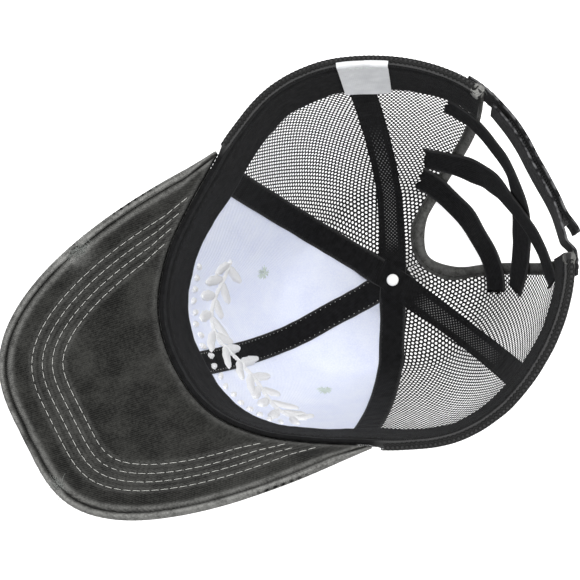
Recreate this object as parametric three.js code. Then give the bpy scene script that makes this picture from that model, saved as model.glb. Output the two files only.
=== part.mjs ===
// A ponytail baseball cap with mesh sides and back, a washed cotton front and a curved brim.
// It lies on its crown with the head opening up. The brim points along +X and +Y is the wearer's right.
// The origin is the middle of the top button's outer face, which rests on the floor with the crown's top.
// Lengths are in millimetres and angles, where a name ends in Angle, in degrees.
import * as THREE from 'three';
import { mergeVertices } from 'three/addons/utils/BufferGeometryUtils.js';

// Head opening and crown
const rimHalfLength = 95;
const rimHalfWidth = 89;
const crownDepth = 117.5;
const frontProfile = { sweepAngle: 66, squareness: 1.5 };
const backProfile = { sweepAngle: 50, squareness: 1.3 };
const restFlattening = 16;
const restSoftness = 5;
const panelBulge = 1.8;

// Layers, from the panels inwards
const panelThickness = 1;
const backingThickness = 1;
const tapeThickness = 1.5;
const sweatbandThickness = 2.2;
const layerGap = 0.4;
const seamGap = 0.3;
const mostTapeShare = 0.3;

// Seams, tapes and the sweatband
const frontSeamAngle = 60;
const rearSeamAngle = 115;
const tapeWidth = 12.5;
const sweatbandHeight = 30;
const sweatbandRise = 0.3;

// Ponytail opening and its binding
const archAngle = 26;
const archTopRadius = 21;
const archRoundRadius = 38;
const archLean = 8.5;
const archLeanSpan = { from: 35, to: 85 };
const bindingWidth = 5.6;
const bindingThickness = 2.8;
const bindingInside = 0.9;

// Button and rivet
const buttonRadius = 7;
const buttonFaceRadius = 4.5;
const buttonHeight = 3.6;
const shankRadius = 1.3;
const shankClearance = 0.9;
const recessRadius = 20;
const rivetRadius = 3;
const rivetThickness = 1.2;

// Brim
const brimEndAngle = 65;
const brimReach = 72;
const brimSlopeAngle = 20;
const brimArch = 39;
const brimThickness = 2.6;
const brimCoverThickness = 1;
const brimLipWidth = 3.2;
const brimEndMargin = 1.5;
const brimRootMargin = 0.3;
const brimUprightRoot = 12;
const brimReachPower = 0.82;
const brimWidthPower = 0.63;
const brimTaper = 0.075;

// Rear strap, elastics, label and eyelets
const strapWidth = 18;
const strapThickness = 1.6;
const strapDrop = 1;
const hookThickness = 1;
const elasticWidth = 16;
const elasticThickness = 1;
const elasticGap = 0.7;
const elasticPass = 1.7;
const elasticPassSpan = { from: 0.24, to: 0.36 };
const labelWidth = 24;
const labelHeight = 30;
const labelThickness = 1;
const labelAngle = -118.2;
const eyeletRadius = 4;
const eyeletBore = 1.8;
const eyeletThickness = 1;
const eyeletAngle = 31.5;
const eyeletDistance = 63;

// Plan radius of the rim as a share of the ellipse with the half length and half width above.
const rimShape = [
  { angle: 0, share: 1.047 },
  { angle: 15, share: 1.032 },
  { angle: 30, share: 0.973 },
  { angle: 45, share: 0.917 },
  { angle: 60, share: 0.902 },
  { angle: 75, share: 0.94 },
  { angle: 90, share: 0.997 },
  { angle: 105, share: 1.018 },
  { angle: 120, share: 1.01 },
  { angle: 135, share: 1.002 },
  { angle: 150, share: 0.99 },
  { angle: 165, share: 0.954 },
  { angle: 180, share: 0.926 },
];

// Rows of the crown's grid: plan distances from the button as shares of the rim's half width, even
// steps from the last of these up the bend, then drops below the rim as shares of the crown's depth.
const innerRows = [0.09, 0.125, 0.16, 0.19, 0.225, 0.27, 0.33, 0.4, 0.455, 0.51, 0.565];
const bendRows = 3;
const outerRows = [0.62, 0.5, 0.38];

// Straps: angles from the rear, positive on the wearer's left, and how far their long edges lie inside
// the strap's width. Beyond the end of the outer strap the inner one steps outwards to the same level.
const strapTable = [
  { name: 'strap_outer', from: -21, to: 32, columns: 14, margin: 0 },
  { name: 'hook_tape', from: -18, to: 16, columns: 10, margin: 1.5 },
  { name: 'strap_inner', from: -32, to: 22, columns: 18, margin: 0 },
];
const strapStep = { from: -26, to: -22 };

// Elastic bands: angles from the rear at their left and right ends, and drops below the rim at five
// even steps between the ends as shares of the crown's depth. passes is the share of its length
// where a band passes inside the top one.
const elasticTable = [
  { name: 'elastic_band_top', left: 37.5, right: -34, drops: [0.34, 0.36, 0.375, 0.65, 0.79] },
  {
    name: 'elastic_band_middle',
    left: 44.5,
    right: -33,
    drops: [0.8, 0.735, 0.535, 0.44, 0.34],
    passes: 0.66,
  },
  { name: 'elastic_band_low', left: 46, right: -35, drops: [0.915, 0.95, 0.93, 0.925, 0.925] },
];

const radians = THREE.MathUtils.degToRad;
const { lerp, smoothstep } = THREE.MathUtils;

const materials = {
  washedCotton: new THREE.MeshStandardMaterial({ color: 0x3a3a39, roughness: 0.95 }),
  mesh: new THREE.MeshStandardMaterial({ color: 0x141414, roughness: 0.7 }),
  backing: new THREE.MeshStandardMaterial({ color: 0xdfe2f2, roughness: 0.9 }),
  blackTape: new THREE.MeshStandardMaterial({ color: 0x1b1b1c, roughness: 0.95 }),
  elastic: new THREE.MeshStandardMaterial({ color: 0x121314, roughness: 0.85 }),
  strap: new THREE.MeshStandardMaterial({ color: 0x202124, roughness: 0.8 }),
  hook: new THREE.MeshStandardMaterial({ color: 0x0e0e0f, roughness: 0.5 }),
  rivet: new THREE.MeshStandardMaterial({ color: 0xf4f4f2, roughness: 0.4 }),
  label: new THREE.MeshStandardMaterial({ color: 0xd9d9d6, roughness: 0.6 }),
  thread: new THREE.MeshStandardMaterial({ color: 0x6b6c68, roughness: 0.8 }),
};

const cap = new THREE.Group();

function addPiece(name, geometry, material) {
  const mesh = new THREE.Mesh(geometry, material);
  mesh.name = name;
  cap.add(mesh);
  return mesh;
}

// Cubic interpolation of the rim's shares, level at the front and the rear
function rimShare(angle) {
  const last = rimShape.length - 1;
  const slope = (k) => {
    if (k === 0 || k === last) return 0;
    return (rimShape[k + 1].share - rimShape[k - 1].share) / (rimShape[k + 1].angle - rimShape[k - 1].angle);
  };
  let k = 0;
  while (k < last - 1 && angle > rimShape[k + 1].angle) k += 1;
  const span = rimShape[k + 1].angle - rimShape[k].angle;
  const s = (angle - rimShape[k].angle) / span;
  const start = rimShape[k].share;
  const rise = rimShape[k + 1].share - start;
  const bendStart = slope(k) * span - rise;
  const bendEnd = rise - slope(k + 1) * span;
  return start + rise * s + s * (1 - s) * (bendStart * (1 - s) + bendEnd * s);
}

// The turn away from the front, the same on both sides
function turnFromFront(phi) {
  const turn = Math.abs(phi);
  return turn > Math.PI ? 2 * Math.PI - turn : turn;
}

function rimRadius(phi) {
  const turn = turnFromFront(phi);
  const ellipse = 1 / Math.hypot(Math.cos(turn) / rimHalfLength, Math.sin(turn) / rimHalfWidth);
  return ellipse * rimShare(THREE.MathUtils.radToDeg(turn));
}

const brimEnd = {
  x: rimRadius(radians(brimEndAngle)) * Math.cos(radians(brimEndAngle)),
  y: rimRadius(radians(brimEndAngle)) * Math.sin(radians(brimEndAngle)),
};
const brimHalfWidth = brimEnd.y + brimEndMargin;

// Rise of the brim's surface above the middle of its root
function brimRise(x, y) {
  return Math.tan(radians(brimSlopeAngle)) * (x - rimRadius(0)) + brimArch * (y / brimHalfWidth) ** 2;
}

// The rim is level at the sides and back, and follows the curved brim at the front.
const frontHeight = crownDepth - brimRise(brimEnd.x, brimEnd.y);

function rimHeight(phi) {
  const radius = rimRadius(phi);
  const atBrim = frontHeight + brimRise(radius * Math.cos(phi), radius * Math.sin(phi));
  const level = smoothstep(turnFromFront(phi), radians(brimEndAngle - 5), radians(brimEndAngle + 10));
  return lerp(atBrim, crownDepth, level);
}

// Meridian profile: t runs from 0 at the button to 1 at the rim.
const floorLevel = panelThickness;
const apexLevel = floorLevel - restFlattening;
const recessDepth = buttonHeight + layerGap;
const seamAngles = [0, frontSeamAngle, rearSeamAngle, 180].map(radians);

// The stiff front stands more upright than the mesh.
function profileAt(phi) {
  const toBack = smoothstep(turnFromFront(phi), radians(20), radians(100));
  return {
    sweep: radians(lerp(frontProfile.sweepAngle, backProfile.sweepAngle, toBack)),
    squareness: lerp(frontProfile.squareness, backProfile.squareness, toBack),
  };
}

function radiusShareAt(phi, t) {
  const { sweep } = profileAt(phi);
  return Math.sin(t * sweep) / Math.sin(sweep);
}

function heightShareAt(phi, t) {
  const { sweep, squareness } = profileAt(phi);
  return ((1 - Math.cos(t * sweep)) / (1 - Math.cos(sweep))) ** squareness;
}

function tAtRadius(phi, radius) {
  const { sweep } = profileAt(phi);
  return Math.asin((radius / rimRadius(phi)) * Math.sin(sweep)) / sweep;
}

function tAtDrop(phi, drop) {
  const { sweep, squareness } = profileAt(phi);
  const share = 1 - drop / (rimHeight(phi) - apexLevel);
  return Math.acos(1 - share ** (1 / squareness) * (1 - Math.cos(sweep))) / sweep;
}

// Panels swell a little between their seams, most at mid height.
function bulgeAt(phi, t) {
  const turn = turnFromFront(phi);
  const k = seamAngles.findIndex((seam, index) => index > 0 && turn <= seam + 1e-9);
  const across = (turn - seamAngles[k - 1]) / (seamAngles[k] - seamAngles[k - 1]);
  const upwards = Math.max(0, Math.sin(Math.PI * heightShareAt(phi, t)));
  return panelBulge * Math.sin(Math.PI * across) ** 2 * upwards;
}

// Smooth maximum that is exactly the floor a little below it, and the value itself a little above it
function pressFlat(z) {
  const above = z - floorLevel;
  if (above <= -restSoftness) return floorLevel;
  if (above >= restSoftness) return z;
  return floorLevel + (above + restSoftness) ** 2 / (4 * restSoftness);
}

// The crown's base surface, which is the inner face of its panels
function crownPoint(phi, t) {
  const radius = rimRadius(phi) * radiusShareAt(phi, t) + bulgeAt(phi, t);
  const free = apexLevel + (rimHeight(phi) - apexLevel) * heightShareAt(phi, t);
  const overButton = recessDepth * (1 - smoothstep(radius, buttonRadius + layerGap, recessRadius));
  return new THREE.Vector3(radius * Math.cos(phi), radius * Math.sin(phi), pressFlat(free) + overButton);
}

function crownNormal(phi, t) {
  const step = 1e-3;
  const across = crownPoint(phi + step, t).sub(crownPoint(phi - step, t));
  const along = crownPoint(phi, t + step).sub(crownPoint(phi, t - step));
  return across.cross(along).normalize();
}

// A point at a distance outwards from the base surface, or inwards where it is negative
function layerPoint(phi, t, offset) {
  return crownPoint(phi, t).addScaledVector(crownNormal(phi, t), offset);
}

// The place on the crown that a short step leads to, along the crown's face
function stepOnCrown(phi, t, step) {
  const small = 1e-3;
  const around = crownPoint(phi + small, t).sub(crownPoint(phi - small, t)).divideScalar(2 * small);
  const upwards = crownPoint(phi, t + small).sub(crownPoint(phi, t - small)).divideScalar(2 * small);
  return { phi: phi + step.dot(around) / around.lengthSq(), t: t + step.dot(upwards) / upwards.lengthSq() };
}

// A closed solid over a grid of columns and rows: two skins and the walls along its four edges
function gridSolid(columns, rows, pointAt) {
  const positions = [];
  const indices = [];
  const at = (i, j, side) => (side * (rows + 1) + j) * (columns + 1) + i;
  for (const side of [0, 1]) {
    for (let j = 0; j <= rows; j += 1) {
      for (let i = 0; i <= columns; i += 1) positions.push(...pointAt(i, j, side).toArray());
    }
  }
  const quad = (a, b, c, d) => indices.push(a, b, c, a, c, d);
  for (let j = 0; j < rows; j += 1) {
    for (let i = 0; i < columns; i += 1) {
      quad(at(i, j, 0), at(i, j + 1, 0), at(i + 1, j + 1, 0), at(i + 1, j, 0));
      quad(at(i, j, 1), at(i + 1, j, 1), at(i + 1, j + 1, 1), at(i, j + 1, 1));
    }
    quad(at(0, j, 0), at(0, j, 1), at(0, j + 1, 1), at(0, j + 1, 0));
    quad(at(columns, j, 0), at(columns, j + 1, 0), at(columns, j + 1, 1), at(columns, j, 1));
  }
  for (let i = 0; i < columns; i += 1) {
    quad(at(i, 0, 0), at(i + 1, 0, 0), at(i + 1, 0, 1), at(i, 0, 1));
    quad(at(i, rows, 0), at(i, rows, 1), at(i + 1, rows, 1), at(i + 1, rows, 0));
  }
  return facingOut(positions, indices);
}

// Turns the triangles over where the solid's signed volume is negative
function facingOut(positions, indices) {
  const corner = (k) => new THREE.Vector3().fromArray(positions, 3 * k);
  let volume = 0;
  for (let k = 0; k < indices.length; k += 3) {
    volume += corner(indices[k]).dot(corner(indices[k + 1]).cross(corner(indices[k + 2])));
  }
  if (volume < 0) {
    for (let k = 0; k < indices.length; k += 3) {
      [indices[k + 1], indices[k + 2]] = [indices[k + 2], indices[k + 1]];
    }
  }
  const geometry = new THREE.BufferGeometry();
  geometry.setAttribute('position', new THREE.Float32BufferAttribute(positions, 3));
  geometry.setIndex(indices);
  geometry.computeVertexNormals();
  return geometry;
}

// A row is a plan distance from the button, a drop below the rim, or a step up the bend between them.
const holeRadius = shankRadius + shankClearance;
const bandTop = sweatbandHeight + seamGap;
const radiusRows = [holeRadius, ...innerRows.map((share) => share * rimHalfWidth)];
const dropRows = outerRows.map((share) => share * crownDepth);
const bendShares = Array.from({ length: bendRows }, (_, k) => (k + 1) / (bendRows + 1));
const panelRows = [
  ...radiusRows.map((radius) => ({ radius })),
  ...bendShares.map((bend) => ({ bend })),
  ...dropRows.map((drop) => ({ drop })),
  { drop: bandTop },
  { drop: sweatbandHeight / 2 },
  { drop: 0 },
];

// The rear panels and the binding share rows round the top of the ponytail opening.
const roundTurns = [0.12, 0.28, 0.45, 0.62, 0.81, 1].map((share) => (share * Math.PI) / 2);

function roundRadiusAt(turn, margin) {
  return archRoundRadius - margin - (archRoundRadius - archTopRadius) * Math.cos(turn);
}

const panelMargin = bindingWidth + seamGap;
const rearPanelRows = [
  ...panelRows.filter((row) => row.radius < archTopRadius - panelMargin),
  ...roundTurns.map((turn) => ({ radius: roundRadiusAt(turn, panelMargin) })),
  ...panelRows.filter((row) => row.radius === undefined || row.radius > archRoundRadius - panelMargin + 2),
];

function rowT(row, phi) {
  if (row.radius !== undefined) return tAtRadius(phi, row.radius);
  if (row.drop !== undefined) return tAtDrop(phi, row.drop);
  return lerp(tAtRadius(phi, radiusRows.at(-1)), tAtDrop(phi, dropRows[0]), row.bend);
}

const planRadius = (phi, t) => rimRadius(phi) * radiusShareAt(phi, t);

// Angles across a piece for a row: lines that each give an angle, and equal parts between them.
// Near the button the second and the last but one line keep clear of each other.
function angleStations(lines, parts) {
  return (row) => {
    const angles = lines.map((line) => line(row));
    const last = angles.length - 1;
    const room = mostTapeShare * (angles[last] - angles[0]);
    if (parts[0] === 1) angles[1] = Math.min(angles[1], angles[0] + room);
    if (parts[last - 1] === 1) angles[last - 1] = Math.max(angles[last - 1], angles[last] - room);
    const stations = [angles[0]];
    parts.forEach((count, k) => {
      for (let part = 1; part <= count; part += 1) {
        stations.push(lerp(angles[k], angles[k + 1], part / count));
      }
    });
    return stations;
  };
}

// A piece of one layer of the crown. stations gives its columns' angles for a row, skins gives its
// two distances from the base surface, and sign is -1 for the wearer's left.
function crownPiece(rows, stations, skins, sign = 1) {
  const columns = stations(rows[0]).length - 1;
  return gridSolid(columns, rows.length - 1, (i, j, side) => {
    const phi = sign * stations(rows[j])[i];
    return layerPoint(phi, rowT(rows[j], phi), skins(phi, rows[j])[side]);
  });
}

// The angle of a line that runs beside a seam at a distance, for each row
function besideSeam(seamAngle, distance) {
  const seam = radians(seamAngle);
  return (row) => seam + distance / planRadius(seam, rowT(row, seam));
}

// The opening's middle leans towards the wearer's left near its top, by this turn at a distance from
// the button. sign is 1 for the right half and -1 for the left half, which is mirrored.
function archTurn(radius, sign) {
  return sign * radians(archLean) * (1 - smoothstep(radius, archLeanSpan.from, archLeanSpan.to));
}

// Half angle of the ponytail opening at a plan distance from the button, grown outwards by a margin
function archHalfAngle(radius, margin) {
  const top = archTopRadius - margin;
  const round = archRoundRadius - margin;
  if (radius <= top) return 0;
  const full = radians(archAngle) + margin / radius;
  return radius >= round ? full : full * Math.sqrt(1 - ((round - radius) / (round - top)) ** 2);
}

function archEdge(margin, sign) {
  const side = Math.PI - radians(archAngle);
  return (row) => {
    const radius = planRadius(side, rowT(row, side));
    return Math.PI + archTurn(radius, sign) - archHalfAngle(radius, margin);
  };
}

// Crown panels: two in front and four of mesh. Their outermost columns lie over the seam tapes.
const panelSkins = () => [0, panelThickness];
const tapeEdge = tapeWidth / 2 + seamGap;
const wearerSides = [
  { word: 'right', sign: 1 },
  { word: 'left', sign: -1 },
];

// The rear panels meet on a line from the button to the opening's top.
const rearMeeting = (sign) => (row) => {
  const radius = planRadius(Math.PI, rowT(row, Math.PI));
  return Math.PI + archTurn(radius, sign) - seamGap / 2 / radius;
};

const seamLines = (from, to) => [
  besideSeam(from, seamGap / 2),
  besideSeam(from, tapeEdge),
  besideSeam(to, -tapeEdge),
  besideSeam(to, -seamGap / 2),
];
const frontStations = angleStations(seamLines(0, frontSeamAngle), [1, 8, 1]);
const sideStations = angleStations(seamLines(frontSeamAngle, rearSeamAngle), [1, 6, 1]);
const rearStations = (sign) =>
  angleStations(
    [
      besideSeam(rearSeamAngle, seamGap / 2),
      besideSeam(rearSeamAngle, tapeEdge),
      (row) => Math.min(rearMeeting(sign)(row), archEdge(panelMargin, sign)(row)),
    ],
    [1, 5],
  );

function buildPanels() {
  for (const { word, sign } of wearerSides) {
    const panel = (name, rows, stations, material) => {
      addPiece(`${name}_${word}`, crownPiece(rows, stations, panelSkins, sign), material);
    };
    panel('front_panel', panelRows, frontStations, materials.washedCotton);
    panel('mesh_side_panel', panelRows, sideStations, materials.mesh);
    panel('mesh_rear_panel', rearPanelRows, rearStations(sign), materials.mesh);
  }
}

// White backing on the inside of each front panel, between the seam tapes and above the sweatband
const innerSkins = (thickness) => () => [-layerGap - thickness, -layerGap];
const rowsAboveBand = panelRows.slice(0, -2);

function buildBackings() {
  const narrowest = (2 * tapeEdge) / radians(frontSeamAngle);
  const rows = rowsAboveBand.filter((row) => row.radius === undefined || row.radius > narrowest * 1.05);
  const stations = angleStations([besideSeam(0, tapeEdge), besideSeam(frontSeamAngle, -tapeEdge)], [8]);
  for (const { word, sign } of wearerSides) {
    const geometry = crownPiece(rows, stations, innerSkins(backingThickness), sign);
    addPiece(`front_backing_${word}`, geometry, materials.backing);
  }
}

// A seam tape narrows towards the button, where its neighbours leave it less room.
function buildTape(name, seamAngle, roomBefore, roomAfter, sign = 1) {
  const seam = radians(seamAngle);
  const reach = (row, room) => {
    const radius = planRadius(seam, rowT(row, seam));
    return Math.min(tapeWidth / 2 / radius, radians(room) / 2 - seamGap / 2 / radius);
  };
  const stations = (row) => [seam - reach(row, roomBefore), seam, seam + reach(row, roomAfter)];
  addPiece(name, crownPiece(rowsAboveBand, stations, innerSkins(tapeThickness), sign), materials.blackTape);
}

function buildTapes() {
  const sideRoom = rearSeamAngle - frontSeamAngle;
  const rearRoom = 360 - 2 * rearSeamAngle;
  buildTape('seam_tape_front', 0, frontSeamAngle, frontSeamAngle);
  for (const { word, sign } of wearerSides) {
    buildTape(`seam_tape_front_${word}`, frontSeamAngle, frontSeamAngle, sideRoom, sign);
    buildTape(`seam_tape_rear_${word}`, rearSeamAngle, sideRoom, rearRoom, sign);
  }
}

// Angles round the rim that follow the panels' columns, from the middle of the front to the opening
function rimStations() {
  const rim = { drop: 0 };
  const inner = (stations) => stations(rim).slice(1, -1);
  return [
    ...inner(frontStations),
    radians(frontSeamAngle),
    ...inner(sideStations),
    radians(rearSeamAngle),
    ...inner(rearStations(1)),
    Math.PI - archHalfAngle(rimRadius(Math.PI), panelMargin),
    Math.PI - radians(archAngle),
  ];
}

// The sweatband runs round the inside of the rim. In front it stands up beside the brim's root.
function buildSweatband() {
  const right = rimStations();
  const angles = [...right.map((angle) => -angle).reverse(), 0, ...right];
  const overBrim = brimThickness + brimCoverThickness + 2 * layerGap;
  const skins = innerSkins(sweatbandThickness)();
  const rows = [1, 0.5, 0, -1];
  const geometry = gridSolid(angles.length - 1, rows.length - 1, (i, j, side) => {
    const phi = angles[i];
    const beyondBrim = smoothstep(Math.abs(phi), radians(brimEndAngle), radians(brimEndAngle + 6));
    const rise = lerp(overBrim, sweatbandRise, beyondBrim);
    const point = layerPoint(phi, tAtDrop(phi, sweatbandHeight * Math.max(rows[j], 0)), skins[side]);
    if (rows[j] < 0) point.z += rise;
    return point;
  });
  addPiece('sweatband', geometry, materials.blackTape);
}

// The binding folds over the edge of the ponytail opening. Beside the sweatband it has no inner fold.
function buildArchBinding() {
  const beyondRound = panelRows.filter((row) => row.radius === undefined || row.radius > archRoundRadius + 1);
  const legs = beyondRound.flatMap((row) => (row.drop === bandTop ? [{ drop: bandTop + 1 }, row] : [row]));
  const right = [...roundTurns.map((turn) => ({ turn })), ...legs.map((row) => ({ row }))];
  const left = right.map((station) => ({ ...station, left: true })).reverse();
  const stations = [...left, { turn: 0 }, ...right];

  const edgePoint = ({ row, turn, left: onLeft }, margin, offset) => {
    const side = Math.PI - radians(archAngle);
    const radius = row ? planRadius(side, rowT(row, side)) : roundRadiusAt(turn, margin);
    const sign = onLeft ? -1 : 1;
    const phi = sign * (Math.PI + archTurn(radius, sign) - archHalfAngle(radius, margin));
    return layerPoint(phi, row ? rowT(row, phi) : tAtRadius(phi, radius), offset);
  };
  const insideAt = ({ row }) => (row && row.drop <= bandTop ? 0 : -bindingInside);
  const crossSteps = 2;
  const geometry = gridSolid(crossSteps, stations.length - 1, (i, j, side) => {
    const margin = (bindingWidth * i) / crossSteps;
    const free = edgePoint(stations[j], margin, bindingThickness - bindingInside);
    const belowFloor = Math.max(0, -free.z);
    const point = side ? free : edgePoint(stations[j], margin, insideAt(stations[j]));
    point.z += belowFloor;
    return point;
  });
  addPiece('arch_binding', geometry, materials.washedCotton);
}

// A solid of revolution about +Z from a profile of radius and height
function turned(profile, segments) {
  const points = profile.map(([radius, height]) => new THREE.Vector2(radius, height));
  const geometry = new THREE.LatheGeometry(points, segments);
  geometry.deleteAttribute('normal');
  geometry.deleteAttribute('uv');
  const merged = mergeVertices(geometry, 1e-4);
  merged.rotateX(Math.PI / 2);
  const corners = Array.from(merged.index.array).filter((_, k, all) => {
    const first = k - (k % 3);
    const [a, b, c] = [all[first], all[first + 1], all[first + 2]];
    return a !== b && b !== c && a !== c;
  });
  return facingOut(Array.from(merged.attributes.position.array), corners);
}

// The covered button outside and the rivet that its shank is clinched into inside
function buildButton() {
  const rivetBase = recessDepth + panelThickness + layerGap + tapeThickness + layerGap;
  const shankTop = rivetBase - seamGap;
  const button = [
    [0, 0],
    [buttonFaceRadius, 0],
    [buttonRadius * 0.86, buttonHeight * 0.16],
    [buttonRadius * 0.97, buttonHeight * 0.42],
    [buttonRadius, buttonHeight * 0.72],
    [buttonRadius * 0.93, buttonHeight],
    [shankRadius, buttonHeight],
    [shankRadius, shankTop],
    [0, shankTop],
  ];
  addPiece('top_button', turned(button, 24), materials.washedCotton);
  const rivet = [
    [0, 0],
    [rivetRadius * 0.95, 0],
    [rivetRadius, rivetThickness * 0.4],
    [rivetRadius * 0.85, rivetThickness * 0.85],
    [rivetRadius * 0.5, rivetThickness],
    [0, rivetThickness],
  ];
  addPiece('button_rivet', turned(rivet, 20), materials.rivet).position.z = rivetBase;
}

// Brim: across runs from -1 at the wearer's left end to 1 at the right, and reach from 0 at the crown to 1.
function brimPlan(across, reach) {
  const phi = across * radians(brimEndAngle);
  const turn = (across * Math.PI) / 2;
  const tip = rimRadius(0) + brimReach;
  const edgeX = brimEnd.x + (tip - brimEnd.x) * Math.cos(turn) ** brimReachPower;
  const narrowed = brimHalfWidth * (1 - brimTaper * Math.cos(turn));
  const edgeY = Math.sign(turn) * narrowed * Math.abs(Math.sin(turn)) ** brimWidthPower;
  const radius = rimRadius(phi) + brimRootMargin;
  const rootX = radius * Math.cos(phi);
  const rootY = radius * Math.sin(phi);
  const out = reach * Math.hypot(edgeX - rootX, edgeY - rootY);
  return { x: lerp(rootX, edgeX, reach), y: lerp(rootY, edgeY, reach), out };
}

// The brim's root stands upright beside the sweatband. Farther out its thickness lies square to its face.
function brimPoint(across, reach, offset) {
  const step = 0.01;
  const { x, y, out } = brimPlan(across, reach);
  const height = (dx, dy) => frontHeight + layerGap + brimRise(x + dx, y + dy);
  const slopeX = (height(step, 0) - height(-step, 0)) / (2 * step);
  const slopeY = (height(0, step) - height(0, -step)) / (2 * step);
  const normal = new THREE.Vector3(-slopeX, -slopeY, 1).normalize();
  const upright = new THREE.Vector3(0, 0, 1 / normal.z);
  const direction = upright.lerp(normal, Math.min(1, out / brimUprightRoot));
  return new THREE.Vector3(x, y, height(0, 0)).addScaledVector(direction, offset);
}

function brimLength(across) {
  return brimPoint(across, 1, 0).distanceTo(brimPoint(across, 0, 0));
}

// The brim's body carries a rolled lip round its edge. The cover on its underside lies inside the lip.
function buildBrim() {
  const columns = 28;
  const acrossAt = (column) => (2 * column) / columns - 1;
  const inLip = (across, width) => 1 - Math.min(width / brimLength(across), 0.4);
  const rowShares = [0, 0.25, 0.5, 0.75];
  const coverBase = brimThickness + layerGap;
  const lipHeight = coverBase + brimCoverThickness;
  const lipRows = [
    { inwards: 1, bottom: 0, top: brimThickness },
    { inwards: 0.9, bottom: 0, top: lipHeight },
    { inwards: 0.35, bottom: 0, top: lipHeight },
    { inwards: 0, bottom: lipHeight * 0.2, top: lipHeight * 0.8 },
  ];
  const body = gridSolid(columns, rowShares.length + lipRows.length - 1, (i, j, side) => {
    const across = acrossAt(i);
    if (j < rowShares.length) {
      return brimPoint(across, rowShares[j] * inLip(across, brimLipWidth), side ? brimThickness : 0);
    }
    const row = lipRows[j - rowShares.length];
    return brimPoint(across, inLip(across, brimLipWidth * row.inwards), side ? row.top : row.bottom);
  });
  addPiece('brim', body, materials.washedCotton);

  const cover = gridSolid(columns - 2, rowShares.length, (i, j, side) => {
    const across = acrossAt(i + 1);
    const lipEdge = inLip(across, brimLipWidth + layerGap);
    const reach = j < rowShares.length ? rowShares[j] * inLip(across, brimLipWidth) : lipEdge;
    return brimPoint(across, reach, side ? lipHeight : coverBase);
  });
  addPiece('brim_under_cover', cover, materials.washedCotton);
}

// Rear strap: two ends that overlap across the opening, with the hook tape between them
function buildStrap() {
  const outerInside = bindingThickness - bindingInside + layerGap;
  const hookInside = outerInside - seamGap - hookThickness;
  const innerInside = hookInside - seamGap - strapThickness;
  const layers = {
    strap_outer: { thickness: strapThickness, material: materials.strap, insideAt: () => outerInside },
    hook_tape: { thickness: hookThickness, material: materials.hook, insideAt: () => hookInside },
    strap_inner: {
      thickness: strapThickness,
      material: materials.strap,
      insideAt: (phi) => {
        const inwards = smoothstep(phi - Math.PI, radians(strapStep.from), radians(strapStep.to));
        return lerp(outerInside, innerInside, inwards);
      },
    },
  };
  for (const { name, from, to, columns, margin } of strapTable) {
    const { thickness, material, insideAt } = layers[name];
    const rows = [0, 1].map((share) => ({ drop: strapDrop + lerp(margin, strapWidth - margin, share) }));
    const ends = [from, to].map((angle) => () => Math.PI + radians(angle));
    const skins = (phi) => [insideAt(phi), insideAt(phi) + thickness];
    addPiece(name, crownPiece(rows, angleStations(ends, [columns]), skins), material);
  }
}

// Elastic bands cross the ponytail opening, and their ends lie on the inside of its binding.
function buildElastics() {
  const segments = 24;
  for (const band of elasticTable) {
    const centre = (s) => {
      const phi = Math.PI + radians(lerp(band.left, band.right, s));
      return { phi, t: tAtDrop(phi, steppedValue(band.drops, s) * crownDepth) };
    };
    const insetAt = (s) => {
      const fromPass = Math.abs(s - band.passes);
      const inFront = band.passes ? 1 - smoothstep(fromPass, elasticPassSpan.from, elasticPassSpan.to) : 0;
      return bindingInside + elasticGap + elasticThickness / 2 + elasticPass * inFront;
    };
    const geometry = gridSolid(1, segments, (i, j, side) => {
      const s = j / segments;
      const { phi, t } = centre(s);
      const ahead = centre(s + 1e-3);
      const behind = centre(s - 1e-3);
      const along = crownPoint(ahead.phi, ahead.t).sub(crownPoint(behind.phi, behind.t)).normalize();
      const across = new THREE.Vector3().crossVectors(crownNormal(phi, t), along);
      const edge = stepOnCrown(phi, t, across.multiplyScalar((i - 0.5) * elasticWidth));
      return layerPoint(edge.phi, edge.t, -insetAt(s) + (side - 0.5) * elasticThickness);
    });
    addPiece(band.name, geometry, materials.elastic);
  }
}

// A smooth value through numbers given at even steps of s from 0 to 1
function steppedValue(values, s) {
  const last = values.length - 1;
  const k = Math.min(last - 1, Math.max(0, Math.floor(s * last)));
  const along = s * last - k;
  const slope = (index) => (values[Math.min(last, index + 1)] - values[Math.max(0, index - 1)]) / 2;
  const rise = values[k + 1] - values[k];
  const bendStart = slope(k) - rise;
  const bendEnd = rise - slope(k + 1);
  return values[k] + rise * along + along * (1 - along) * (bendStart * (1 - along) + bendEnd * along);
}

// Blank label sewn over the sweatband
function buildLabel() {
  const inside = sweatbandThickness + 2 * layerGap;
  const centre = radians(labelAngle);
  const halfAngle = labelWidth / 2 / rimRadius(centre);
  const rows = [1, 0.5, 0].map((share) => ({ drop: 1 + labelHeight * share }));
  const skins = () => [-inside - labelThickness, -inside];
  const edges = [-halfAngle, halfAngle].map((angle) => () => centre + angle);
  const geometry = crownPiece(rows, angleStations(edges, [4]), skins);
  addPiece('care_label', geometry, materials.label);
}

// Stitched eyelet rings on the outside of the front panels
function buildEyelets() {
  const ring = [
    [eyeletBore, 0],
    [eyeletRadius, 0],
    [eyeletRadius * 0.9, eyeletThickness * 0.8],
    [(eyeletRadius + eyeletBore) / 2, eyeletThickness],
    [eyeletBore, eyeletThickness * 0.6],
    [eyeletBore, 0],
  ];
  for (const { word, sign } of wearerSides) {
    const phi = sign * radians(eyeletAngle);
    const t = tAtRadius(phi, eyeletDistance);
    const eyelet = addPiece(`eyelet_${word}`, turned(ring, 16), materials.thread);
    eyelet.position.copy(layerPoint(phi, t, panelThickness + seamGap));
    eyelet.quaternion.setFromUnitVectors(new THREE.Vector3(0, 0, 1), crownNormal(phi, t));
  }
}

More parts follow.
